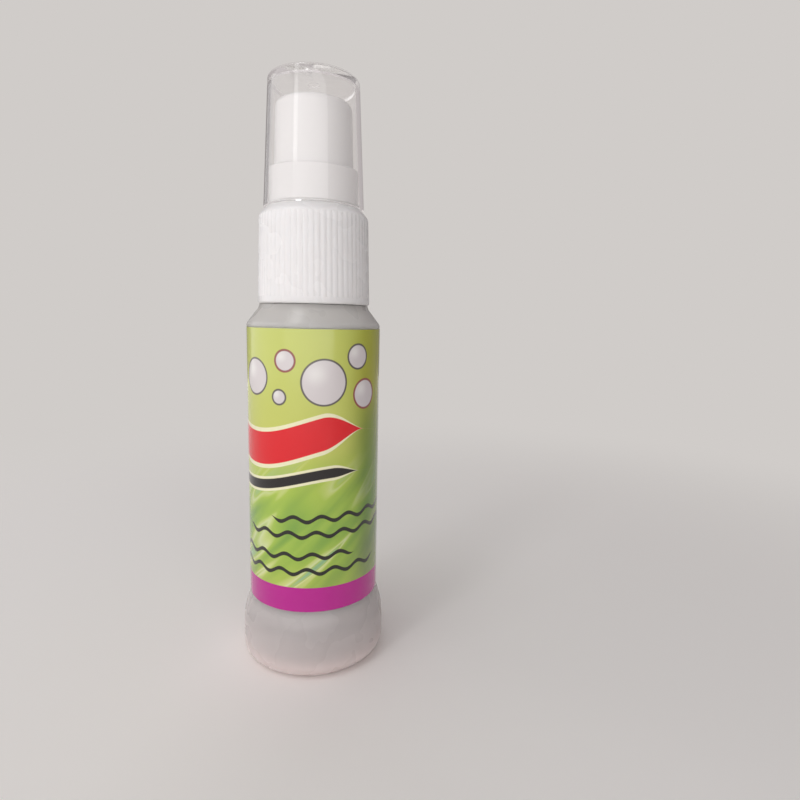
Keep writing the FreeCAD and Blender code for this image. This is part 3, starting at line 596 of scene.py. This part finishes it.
    def _unroll(self, tree: Tree) -> Unrolled:
        """Unrolls the label.

        Args:
            tree: The material's node tree.

        Returns:
            The label laid flat.
        """
        place = add_node(tree, "TexCoord")["Object"]
        split = add_node(tree, "SeparateXYZ", {0: place})
        front = add_node(tree, "Math", {0: split["Y"], 1: -1.0}, operation="MULTIPLY")["Value"]
        angle = add_node(tree, "Math", {0: split["X"], 1: front}, operation="ARCTAN2")["Value"]
        around = add_node(tree, "Math", {
            0: angle, 1: self.radius_mm,
        }, operation="MULTIPLY")["Value"]
        height = add_node(tree, "Math", {
            0: split["Z"], 1: 1 / MM,
        }, operation="MULTIPLY")["Value"]
        flat = add_node(tree, "CombineXYZ", {"X": around, "Y": height})["Vector"]
        return Unrolled(tree, around, height, flat)

    def _wash(self, label: Unrolled) -> Socket:
        """Lays the green wash, deeper to the right in print and painted shade, and slanting
        streaks below.

        Args:
            label: The label laid flat.

        Returns:
            The colour so far.
        """
        tree = label.tree
        stroke = self._strokes(label)
        share = add_node(tree, "MapRange", {
            "Value": label.height, "From Min": self.bottom_mm, "From Max": self.top_mm,
        })["Result"]
        spread = add_node(tree, "MapRange", {
            "Value": stroke, "From Min": self.streak_spread[0],
            "From Max": self.streak_spread[1],
        })["Result"]
        inks: List[Socket] = []
        for given, stops in (
            (share, self.wash), (share, self.right_print_and_shade), (spread, self.streaks),
        ):
            ramp = add_node(tree, "ValToRGB", {"Fac": given})["Color"]
            fill_ramp(ramp.node, stops)
            inks.append(ramp)
        # Painted shade: the deeper green fades in across the right side and frays along the
        # strokes.
        shade_rises, shade_falls = [
            add_node(tree, "MapRange", {
                "Value": label.around, "From Min": start, "From Max": end,
            }, **SMOOTH)["Result"]
            for start, end in (self.right_shade_rise_mm, self.right_shade_fall_mm)
        ]
        aside = add_node(tree, "Math", {0: shade_rises, 1: shade_falls}, operation="MULTIPLY")["Value"]
        wavy = add_node(tree, "Math", {
            0: stroke, 1: self.right_shade_fray, 2: -0.5 * self.right_shade_fray,
        }, operation="MULTIPLY_ADD")["Value"]
        frayed = add_node(tree, "Math", {
            0: aside, 1: wavy,
        }, operation="SUBTRACT", use_clamp=True)["Value"]
        side = add_node(tree, "Math", {0: aside, 1: frayed}, operation="MULTIPLY")["Value"]
        wash = add_node(tree, "Mix", {0: side, 6: inks[0], 7: inks[1]}, data_type="RGBA")[2]
        return add_node(tree, "Mix", {
            0: self._streak_amount(label, side), 6: wash, 7: inks[2],
        }, data_type="RGBA")[2]

    def _strokes(self, label: Unrolled) -> Socket:
        """Draws long slanting brush strokes.

        Args:
            label: The label laid flat.

        Returns:
            The strokes' depth, from 0 to 1.
        """
        slanted = add_node(label.tree, "Mapping", {
            "Vector": label.flat, "Rotation": (0.0, 0.0, math.radians(self.streak_turn_deg)),
        })["Vector"]
        drawn = add_node(label.tree, "Mapping", {
            "Vector": slanted, "Scale": self.streak_scale,
        })["Vector"]
        return add_node(label.tree, "TexNoise", {
            "Vector": drawn, "Scale": 1.0, "Detail": 2.0, "Distortion": 0.5,
        })["Fac"]

    def _streak_amount(self, label: Unrolled, side: Socket) -> Socket:
        """Says where the streaks show: below, less to the right and less near the lap.

        Args:
            label: The label laid flat.
            side: How far the deeper wash at the right, partly painted shade, has taken over.

        Returns:
            Their share, from 0 to 1.
        """
        tree = label.tree
        low = add_node(tree, "MapRange", {
            "Value": label.height, "From Min": self.streak_levels_mm[0],
            "From Max": self.streak_levels_mm[1], "To Max": self.streak_share,
        }, **SMOOTH)["Result"]
        free = add_node(tree, "MapRange", {
            "Value": side, "To Min": 1.0, "To Max": self.streak_right_share,
        })["Result"]
        from_front = add_node(tree, "Math", {0: label.around}, operation="ABSOLUTE")["Value"]
        clear_of_lap = add_node(tree, "MapRange", {
            "Value": from_front, "From Min": self.streak_lap_mm[0],
            "From Max": self.streak_lap_mm[1], "To Min": self.streak_lap_share,
        }, **SMOOTH)["Result"]
        allowed = add_node(tree, "Math", {
            0: free, 1: clear_of_lap,
        }, operation="MULTIPLY")["Value"]
        return add_node(tree, "Math", {0: low, 1: allowed}, operation="MULTIPLY")["Value"]

    def _lay_ribbon(self, label: Unrolled, under: Socket, ribbon: Ribbon) -> Socket:
        """Prints one ribbon, with its pale halo first.

        Args:
            label: The label laid flat.
            under: The colour below it.
            ribbon: The ribbon.

        Returns:
            The colour so far.
        """
        tree = label.tree
        turn = add_node(tree, "Math", {
            0: label.around, 1: 2 * math.pi / ribbon.wave_mm, 2: ribbon.phase,
        }, operation="MULTIPLY_ADD")["Value"]
        wave = add_node(tree, "Math", {0: turn}, operation="SINE")["Value"]
        risen = add_node(tree, "Math", {
            0: wave, 1: ribbon.swing_mm, 2: ribbon.height_mm,
        }, operation="MULTIPLY_ADD")["Value"]
        middle = add_node(tree, "Math", {
            0: label.around, 1: ribbon.slope, 2: risen,
        }, operation="MULTIPLY_ADD")["Value"]
        away = add_node(tree, "Math", {
            0: label.height, 1: middle,
        }, operation="SUBTRACT")["Value"]
        distance = add_node(tree, "Math", {0: away}, operation="ABSOLUTE")["Value"]
        head, tail = [
            add_node(tree, "MapRange", {
                "Value": label.around, "From Min": end, "From Max": end + taper,
            }, **SMOOTH)["Result"]
            for end, taper in (
                (ribbon.starts_mm, ribbon.taper_mm), (ribbon.ends_mm, -ribbon.taper_mm))
        ]
        full = add_node(tree, "Math", {0: head, 1: tail}, operation="MULTIPLY")["Value"]
        half = add_node(tree, "Math", {
            0: full, 1: ribbon.half_mm,
        }, operation="MULTIPLY")["Value"]
        layers = [(0.0, ribbon.colour)]
        if ribbon.halo_mm:
            layers.insert(0, (ribbon.halo_mm, ribbon.halo))
        for extra, colour in layers:
            room = add_node(tree, "Math", {
                0: full, 1: extra, 2: half,
            }, operation="MULTIPLY_ADD")["Value"]
            inside = add_node(tree, "Math", {
                0: room, 1: distance,
            }, operation="SUBTRACT")["Value"]
            mask = add_node(tree, "MapRange", {
                "Value": inside, "From Min": self.ribbon_edge_mm[0],
                "From Max": self.ribbon_edge_mm[1],
            })["Result"]
            under = add_node(tree, "Mix", {
                0: mask, 6: under, 7: linear(colour),
            }, data_type="RGBA")[2]
        return under

    def _lay_bubble(self, label: Unrolled, under: Socket, bubble: Bubble) -> Socket:
        """Prints one bubble: its pale fill, a glint and its thin rim.

        Args:
            label: The label laid flat.
            under: The colour below it.
            bubble: The bubble.

        Returns:
            The colour so far.
        """
        tree = label.tree
        radius = bubble.radius_mm
        distance, from_glint = [
            add_node(tree, "VectorMath", {
                0: label.flat, 1: (bubble.around_mm - move, bubble.height_mm + move, 0.0),
            }, operation="DISTANCE")["Value"]
            for move in (0.0, bubble.glint_aside * radius)
        ]
        fill = add_node(tree, "MapRange", {
            "Value": distance, "From Min": radius, "From Max": radius - self.fill_edge_mm,
            "To Max": bubble.fill_share,
        })["Result"]
        shine = add_node(tree, "MapRange", {
            "Value": from_glint, "From Min": bubble.glint_reach * radius, "From Max": 0.0,
        }, **SMOOTH)["Result"]
        tone = add_node(tree, "Mix", {
            0: shine, 6: linear(bubble.fill), 7: linear(bubble.glint),
        }, data_type="RGBA")[2]
        filled = add_node(tree, "Mix", {0: fill, 6: under, 7: tone}, data_type="RGBA")[2]
        from_rim = add_node(tree, "Math", {
            0: distance, 1: radius - 0.5 * bubble.rim_mm,
        }, operation="SUBTRACT")["Value"]
        off_rim = add_node(tree, "Math", {0: from_rim}, operation="ABSOLUTE")["Value"]
        rim = add_node(tree, "MapRange", {
            "Value": off_rim, "From Min": 0.5 * bubble.rim_mm + self.rim_edge_mm[0],
            "From Max": 0.5 * bubble.rim_mm + self.rim_edge_mm[1],
            "To Max": bubble.rim_share,
        })["Result"]
        return add_node(tree, "Mix", {
            0: rim, 6: filled, 7: linear(bubble.rim),
        }, data_type="RGBA")[2]

    def _foot_band(self, label: Unrolled, under: Socket) -> Socket:
        """Prints the purple band along the label's lower edge.

        Args:
            label: The label laid flat.
            under: The colour above it.

        Returns:
            The colour so far.
        """
        mask = add_node(label.tree, "MapRange", {
            "Value": label.height, "From Min": self.band_top_mm + self.band_edge_mm,
            "From Max": self.band_top_mm - self.band_edge_mm,
        })["Result"]
        return add_node(label.tree, "Mix", {
            0: mask, 6: under, 7: linear(self.band),
        }, data_type="RGBA")[2]

    def _seam(self, label: Unrolled) -> Socket:
        """Raises the lap where the film's end is glued over its start, at the back.

        Args:
            label: The label laid flat.

        Returns:
            The relief, from 0 to 1.
        """
        lap = math.pi * self.radius_mm - self.lap_mm
        return add_node(label.tree, "MapRange", {
            "Value": label.around, "From Min": lap, "From Max": lap + self.lap_step_mm,
        }, **SMOOTH)["Result"]


def make_object(name: str, build: bmesh.types.BMesh, smooth: bool = True) -> bpy.types.Object:
    """Turns a bmesh into an object of the scene and frees it.

    Args:
        name: The object's name.
        build: The mesh being built.
        smooth: Whether its faces are shaded smooth.

    Returns:
        The new object.
    """
    bmesh.ops.recalc_face_normals(build, faces=build.faces)
    mesh = bpy.data.meshes.new(name)
    build.to_mesh(mesh)
    build.free()
    mesh.polygons.foreach_set("use_smooth", [smooth] * len(mesh.polygons))
    thing = bpy.data.objects.new(name, mesh)
    bpy.context.scene.collection.objects.link(thing)
    return thing


def skin_rows(build: bmesh.types.BMesh, rows: List[Row]) -> None:
    """Joins a swept section's rows with faces and closes both ends.

    Args:
        build: The mesh being built.
        rows: The section's corners at each step, in the same order.
    """
    for before, after in zip(rows, rows[1:]):
        for side in range(len(before)):
            beside = (side + 1) % len(before)
            build.faces.new((before[side], before[beside], after[beside], after[side]))
    build.faces.new(rows[0])
    build.faces.new(rows[-1])


def smooth_solid(
    node: str, sharp_deg: float = 28.0, weld_mm: float = 0.002
) -> bpy.types.Object:
    """Shades a solid smooth across its tangent faces and keeps its real edges sharp.

    Args:
        node: The solid's name.
        sharp_deg: The angle above which an edge stays sharp.
        weld_mm: How near two corners are one.

    Returns:
        The solid's object.
    """
    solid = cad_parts[node]
    solid.data.polygons.foreach_set("use_smooth", [True] * len(solid.data.polygons))
    join = solid.modifiers.new("JoinFaces", "WELD")
    join.merge_threshold = weld_mm * MM
    split = solid.modifiers.new("SharpEdges", "EDGE_SPLIT")
    split.split_angle = math.radians(sharp_deg)
    return solid


def dress(node: str, material: bpy.types.Material) -> None:
    """Gives a solid its finish in every material slot.

    Args:
        node: The solid's name.
        material: Its finish.
    """
    solid = smooth_solid(node)
    if not solid.data.materials:
        solid.data.materials.append(material)
    for place in range(len(solid.data.materials)):
        solid.data.materials[place] = material
    LOG.info("%s: %s", node, material.name)


# Half of a thread's section: across its base, and out from the wall to the crest.  The
# first pair is sunk into the wall.
THREAD_FLANK = ((-0.5, -0.25), (-0.5, 0.0), (-0.36, 0.55), (-0.2, 0.93))


@dataclass
class ScrewThread:
    """A run-out screw thread: a rounded ridge that winds up a wall and fades at both ends."""

    name: str
    root_mm: float
    crest_mm: float
    foot_mm: float
    turns: float
    start_deg: float
    base_mm: float = 1.75
    bite_mm: float = 0.1
    fade_deg: float = 32.0
    least_grown: float = 0.02
    narrowest: float = 0.4
    steps: int = 132

    def build(self) -> bpy.types.Object:
        """Builds the ridge.

        Returns:
            The thread's object.
        """
        ridge = bmesh.new()
        rows: List[Row] = []
        sweep = math.radians(360 * self.turns)
        fade = math.radians(self.fade_deg)
        for step in range(self.steps + 1):
            turned = sweep * step / self.steps
            full = min(1.0, turned / fade, (sweep - turned) / fade)
            grown = math.sin(0.5 * math.pi * max(full, 0.0))
            rows.append(self._section(ridge, turned, max(grown, self.least_grown)))
        skin_rows(ridge, rows)
        return make_object(self.name, ridge)

    def _section(self, ridge: bmesh.types.BMesh, turned: float, grown: float) -> Row:
        """Draws the ridge's section at one place along it.

        Args:
            ridge: The mesh being built.
            turned: The angle from the thread's start.
            grown: The ridge's share of its full height.

        Returns:
            The section's corners in order.
        """
        angle = math.radians(self.start_deg) + turned
        middle = self.foot_mm + PITCH_MM * turned / (2 * math.pi)
        width = self.base_mm * (self.narrowest + (1 - self.narrowest) * grown)
        bite = math.copysign(self.bite_mm, self.root_mm - self.crest_mm)
        other_flank = tuple((-across, out) for across, out in reversed(THREAD_FLANK))
        corners: Row = []
        for across, out in (*THREAD_FLANK, (0.0, 1.0), *other_flank):
            if out < 0:
                radius = self.root_mm + bite
            else:
                radius = self.root_mm + (self.crest_mm - self.root_mm) * out * grown
            level = middle + across * width
            corners.append(ridge.verts.new((
                radius * MM * math.cos(angle), radius * MM * math.sin(angle), level * MM)))
        return corners


@dataclass
class WoundSpring:
    """The return spring as it is wound: round wire, with a closed coil at each end."""

    name: str = "return_spring_wound"
    coil_mm: float = 2.5
    wire_mm: float = 0.28
    active_turns: float = 6.0
    closed_turns: float = 1.0
    steps_per_turn: int = 28
    sides: int = 10
    foot_mm: float = 62.6
    keep: float = 0.652

    def build(self) -> bpy.types.Object:
        """Winds the wire between the levels of the solid that it stands for.

        Returns:
            The spring's object.
        """
        low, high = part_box("return_spring")
        start, end = low.z / MM + self.wire_mm, high.z / MM - self.wire_mm
        total = self.active_turns + 2 * self.closed_turns
        closed = 2 * self.wire_mm * self.closed_turns
        wire = bmesh.new()
        rows: List[Row] = []
        for step in range(int(total * self.steps_per_turn) + 1):
            turned = step / self.steps_per_turn
            active = min(max(turned - self.closed_turns, 0.0), self.active_turns)
            tail = max(turned - self.closed_turns - self.active_turns, 0.0)
            level = (start + closed * (min(turned, self.closed_turns) + tail)
                     / self.closed_turns
                     + (end - start - 2 * closed) * active / self.active_turns)
            angle = 2 * math.pi * turned
            row: Row = []
            for side in range(self.sides):
                way = 2 * math.pi * side / self.sides
                radius = self.coil_mm + self.wire_mm * math.cos(way)
                row.append(wire.verts.new((
                    radius * MM * math.cos(angle), radius * MM * math.sin(angle),
                    (level + self.wire_mm * math.sin(way)) * MM)))
            rows.append(row)
        skin_rows(wire, rows)
        spring = make_object(self.name, wire)
        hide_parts("return_spring")
        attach(spring, "pump")
        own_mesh(spring)
        return spring


@dataclass
class Bottle:
    """The blown bottle with its label and its filling."""

    neck_clear_mm: float = 2.2
    crest_mm: float = 8.85
    neck_mm: float = 7.75
    turns: float = 1.5
    start_deg: float = 200.0
    label: PrintedFilm = field(default_factory=PrintedFilm)
    liquid: CleaningLiquid = field(default_factory=CleaningLiquid)

    def build(self) -> float:
        """Dresses the solids and winds the thread on the neck.

        Returns:
            The level where the thread starts, in millimetres.
        """
        plastic = BLOWN_POLYETHYLENE.material()
        dress("bottle", plastic)
        dress("label", self.label.material())
        dress("cleaning_liquid", self.liquid.material())
        foot_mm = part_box("bottle")[1].z / MM - self.neck_clear_mm - self.turns * PITCH_MM
        thread = ScrewThread(
            "neck_thread", self.neck_mm, self.crest_mm, foot_mm, self.turns, self.start_deg)
        ridge = thread.build()
        ridge.data.materials.append(plastic)
        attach(ridge, "bottle")
        LOG.info("neck_thread: %s", plastic.name)
        return foot_mm


@dataclass
class Closure:
    """The ribbed screw closure and the thread inside it."""

    bore_mm: float = 9.05
    crest_mm: float = 7.97
    lag_mm: float = PITCH_MM
    start_deg: float = 20.0
    turns: float = 1.35

    def build(self, neck_thread_foot_mm: float) -> None:
        """Dresses the closure and winds its inner thread half a pitch under the neck's.

        It starts half a turn earlier, so that it stays below the gasket, which waits on
        the neck while the closure unscrews.

        Args:
            neck_thread_foot_mm: The level where the neck's thread starts.
        """
        plastic = WHITE_POLYPROPYLENE.material()
        dress("closure", plastic)
        thread = ScrewThread(
            "closure_thread", self.bore_mm, self.crest_mm,
            neck_thread_foot_mm - self.lag_mm, self.turns, self.start_deg)
        ridge = thread.build()
        ridge.data.materials.append(plastic)
        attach(ridge, "closure")
        LOG.info("closure_thread: %s", plastic.name)


@dataclass
class Pump:
    """The fine-mist pump: housing, collar, stem, piston, valve, spring, ball and tube."""

    spring: WoundSpring = field(default_factory=WoundSpring)

    def build(self) -> None:
        """Dresses every piece of the pump."""
        natural = NATURAL_POLYPROPYLENE.material()
        for node in ("pump_housing", "valve_stem", "upper_stem"):
            dress(node, natural)
        dress("guide_collar", BUTTON_POLYPROPYLENE.material())
        dress("piston", PISTON_POLYETHYLENE.material())
        dress("dip_tube", TUBE_POLYETHYLENE.material())
        dress("gasket", FOAM_POLYETHYLENE.material())
        steel = SPRING_STEEL.material()
        dress("inlet_ball", steel)
        spring = self.spring.build()
        spring.data.materials.append(steel)
        LOG.info("%s: %s", spring.name, steel.name)


@dataclass
class Button:
    """The push button that carries the spray insert."""

    def build(self) -> None:
        """Dresses the button and its insert."""
        plastic = BUTTON_POLYPROPYLENE.material()
        for node in ("actuator", "nozzle_insert"):
            dress(node, plastic)


@dataclass
class Overcap:
    """The clear cap over the button."""

    finish: ClearPolypropylene = field(default_factory=ClearPolypropylene)

    def build(self) -> None:
        """Dresses the cap."""
        dress("overcap", self.finish.material())


@dataclass(frozen=True)
class SoftPanel:
    """A soft studio panel that faces the spray from one bearing.

    Bearings are degrees to the right of the camera, rises degrees above level, and a
    panel that is lifted instead stays upright.  The light is given as a brightness,
    where 1 shows as white, and a fill panel isn't mirrored in what it lights.
    """

    name: str
    bearing_deg: float
    away_m: float
    width_m: float
    height_m: float
    brightness: float
    rise_deg: float = 0.0
    lift_m: float = 0.0
    mirrored: bool = True


@dataclass
class Studio:
    """Camera, floor, surroundings and lamps."""

    backdrop: str = "#D0CCC9"
    ambient: str = "#D3CCCC"
    wall_strength: float = 0.12
    ceiling_strength: float = 0.50
    seen_left: float = 0.42
    seen_right: float = 0.80
    mirrored_right: float = 0.50
    seen_ceiling: float = 0.95
    ceiling_from: Span = (0.3, 0.75)
    left_to_right: Span = (-0.35, 0.25)
    floor_colour: str = "#F8F6F4"
    floor_radius_m: float = 40.0
    floor_fades_m: Span = (0.06, 0.28)
    focal_mm: float = 25.425
    sensor_mm: float = 36.0
    camera_at: Place = (0.0, -0.1141, 0.0687)
    camera_right: Place = (0.9886, -0.1485, 0.0215)
    camera_back: Place = (-0.1500, -0.9782, 0.1430)
    camera_sees_m: Span = (0.005, 100.0)
    aim: Place = (0.0, 0.0, 0.06)
    panels: Tuple[SoftPanel, ...] = (
        SoftPanel("front_panel", -9.0, 0.50, 0.86, 0.40, 1.52, lift_m=0.14),
        SoftPanel("left_panel", -90.4, 0.50, 0.86, 0.40, 0.97, lift_m=0.14),
        SoftPanel("window_strip", -44.0, 0.50, 0.08, 0.40, 2.3, rise_deg=44.0),
        SoftPanel("high_lamp", -58.0, 0.50, 0.12, 0.10, 4.2, rise_deg=66.0),
        SoftPanel("back_fill", 186.0, 0.50, 0.70, 0.40, 1.1, lift_m=0.14, mirrored=False),
    )

    def build(self) -> None:
        """Sets up everything round the spray."""
        camera = self._camera()
        toward = camera.location - Vector((0.0, 0.0, camera.location.z))
        bearing = math.atan2(toward.x, -toward.y)
        for panel in self.panels:
            self._panel(panel, bearing)
        self._world()
        self._floor()
        bpy.context.scene.view_settings.view_transform = "Standard"

    def _camera(self) -> bpy.types.Object:
        """Sets the camera close in front of the spray, a little above its middle.

        Returns:
            The camera's object.
        """
        lens = bpy.data.cameras.new("camera")
        lens.sensor_width = self.sensor_mm
        lens.lens = self.focal_mm
        lens.clip_start, lens.clip_end = self.camera_sees_m
        camera = bpy.data.objects.new("camera", lens)
        right = Vector(self.camera_right).normalized()
        back = Vector(self.camera_back).normalized()
        up = back.cross(right).normalized()
        turned = Matrix((right, up, back)).transposed().to_4x4()
        camera.matrix_world = Matrix.Translation(self.camera_at) @ turned
        bpy.context.scene.collection.objects.link(camera)
        bpy.context.scene.camera = camera
        return camera

    def _panel(self, panel: SoftPanel, bearing: float) -> None:
        """Hangs one panel, turned to the spray.

        Args:
            panel: The panel.
            bearing: The camera's own bearing from the spray, in radians.
        """
        lamp = bpy.data.lights.new(panel.name, "AREA")
        lamp.shape = "RECTANGLE"
        lamp.size = panel.width_m
        lamp.size_y = panel.height_m
        lamp.energy = math.pi * panel.brightness * panel.width_m * panel.height_m
        angle = bearing + math.radians(panel.bearing_deg)
        rise = math.radians(panel.rise_deg)
        level = math.cos(rise)
        out = Vector((math.sin(angle) * level, -math.cos(angle) * level, math.sin(rise)))
        hung = bpy.data.objects.new(panel.name, lamp)
        hung.location = Vector(self.aim) + out * panel.away_m + Vector((0.0, 0.0, panel.lift_m))
        hung.rotation_euler = out.to_track_quat("Z", "Y").to_euler()
        hung.visible_camera = False
        hung.visible_transmission = False
        hung.visible_glossy = panel.mirrored
        bpy.context.scene.collection.objects.link(hung)

    def _world(self) -> None:
        """Lights the room softly, and shows it pale to the eye and through clear plastic.

        The room lights the spray mostly from above.  Sheens, and the bent view along the
        clear cap's outline, show the room's half-bright sides.
        """
        world = bpy.data.worlds.new("studio")
        bpy.context.scene.world = world
        world.use_nodes = True
        tree = world.node_tree
        tree.nodes.clear()
        path = add_node(tree, "LightPath")
        first = add_node(tree, "Math", {
            0: path["Diffuse Depth"], 1: NOT_ONCE,
        }, operation="LESS_THAN")["Value"]
        through = add_node(tree, "Math", {
            0: path["Is Transmission Ray"], 1: first,
        }, operation="MULTIPLY")["Value"]
        crossed = add_node(tree, "Math", {
            0: path["Transmission Depth"], 1: OVER_TWICE,
        }, operation="GREATER_THAN")["Value"]
        unmirrored = add_node(tree, "Math", {
            0: path["Glossy Depth"], 1: NOT_ONCE,
        }, operation="LESS_THAN")["Value"]
        clear_way = add_node(tree, "Math", {
            0: crossed, 1: unmirrored,
        }, operation="MAXIMUM")["Value"]
        cleared = add_node(tree, "Math", {
            0: through, 1: clear_way,
        }, operation="MULTIPLY")["Value"]
        shown = add_node(tree, "Math", {
            0: path["Is Camera Ray"], 1: cleared,
        }, operation="MAXIMUM")["Value"]
        way = add_node(tree, "TexCoord")["Generated"]
        split = add_node(tree, "SeparateXYZ", {0: way})
        above = add_node(tree, "MapRange", {
            "Value": split["Z"], "From Min": self.ceiling_from[0],
            "From Max": self.ceiling_from[1],
        }, **SMOOTH)["Result"]
        right = add_node(tree, "MapRange", {
            "Value": path["Transmission Depth"], "To Min": self.mirrored_right,
            "To Max": self.seen_right,
        })["Result"]
        seen = add_node(tree, "MapRange", {
            "Value": split["X"], "From Min": self.left_to_right[0],
            "From Max": self.left_to_right[1], "To Min": self.seen_left, "To Max": right,
        })["Result"]
        level = add_node(tree, "Mix", {0: first, 2: self.wall_strength, 3: seen})["Result"]
        ceiling = add_node(tree, "Mix", {
            0: first, 2: self.ceiling_strength, 3: self.seen_ceiling,
        })["Result"]
        strength = add_node(tree, "Mix", {0: above, 2: level, 3: ceiling})["Result"]
        soft = add_node(tree, "Background", {
            "Color": linear(self.ambient), "Strength": strength,
        })["Background"]
        pale = add_node(tree, "Background", {"Color": linear(self.backdrop)})["Background"]
        mixed = add_node(tree, "MixShader", {0: shown, 1: soft, 2: pale})["Shader"]
        add_node(tree, "OutputWorld", {"Surface": mixed})

    def _floor(self) -> None:
        """Lays a wide pale floor, which fades into the backdrop away from the spray."""
        disc = bmesh.new()
        bmesh.ops.create_circle(disc, cap_ends=True, segments=96, radius=self.floor_radius_m)
        floor = make_object("floor", disc, smooth=False)
        material, tree = new_tree("painted_floor_matt")
        place = add_node(tree, "TexCoord")["Object"]
        away = add_node(tree, "VectorMath", {0: place}, operation="LENGTH")["Value"]
        far = add_node(tree, "MapRange", {
            "Value": away, "From Min": self.floor_fades_m[0],
            "From Max": self.floor_fades_m[1],
        }, **SMOOTH)["Result"]
        path = add_node(tree, "LightPath")
        shown = add_node(tree, "Math", {
            0: path["Is Camera Ray"], 1: path["Is Transmission Ray"],
        }, operation="MAXIMUM")["Value"]
        share = add_node(tree, "Math", {0: far, 1: shown}, operation="MULTIPLY")["Value"]
        matt = add_node(tree, "BsdfDiffuse", {"Color": linear(self.floor_colour)})["BSDF"]
        pale = add_node(tree, "Emission", {"Color": linear(self.backdrop)})["Emission"]
        mixed = add_node(tree, "MixShader", {0: share, 1: matt, 2: pale})["Shader"]
        add_node(tree, "OutputMaterial", {"Surface": mixed})
        floor.data.materials.append(material)


def main() -> None:
    """Builds the spray from the foot up, then the studio."""
    logging.basicConfig(level=logging.INFO, format="%(name)s: %(message)s")
    thread_foot_mm = Bottle().build()
    Closure().build(thread_foot_mm)
    Pump().build()
    Button().build()
    Overcap().build()
    Studio().build()


if __name__ == "__main__":
    main()
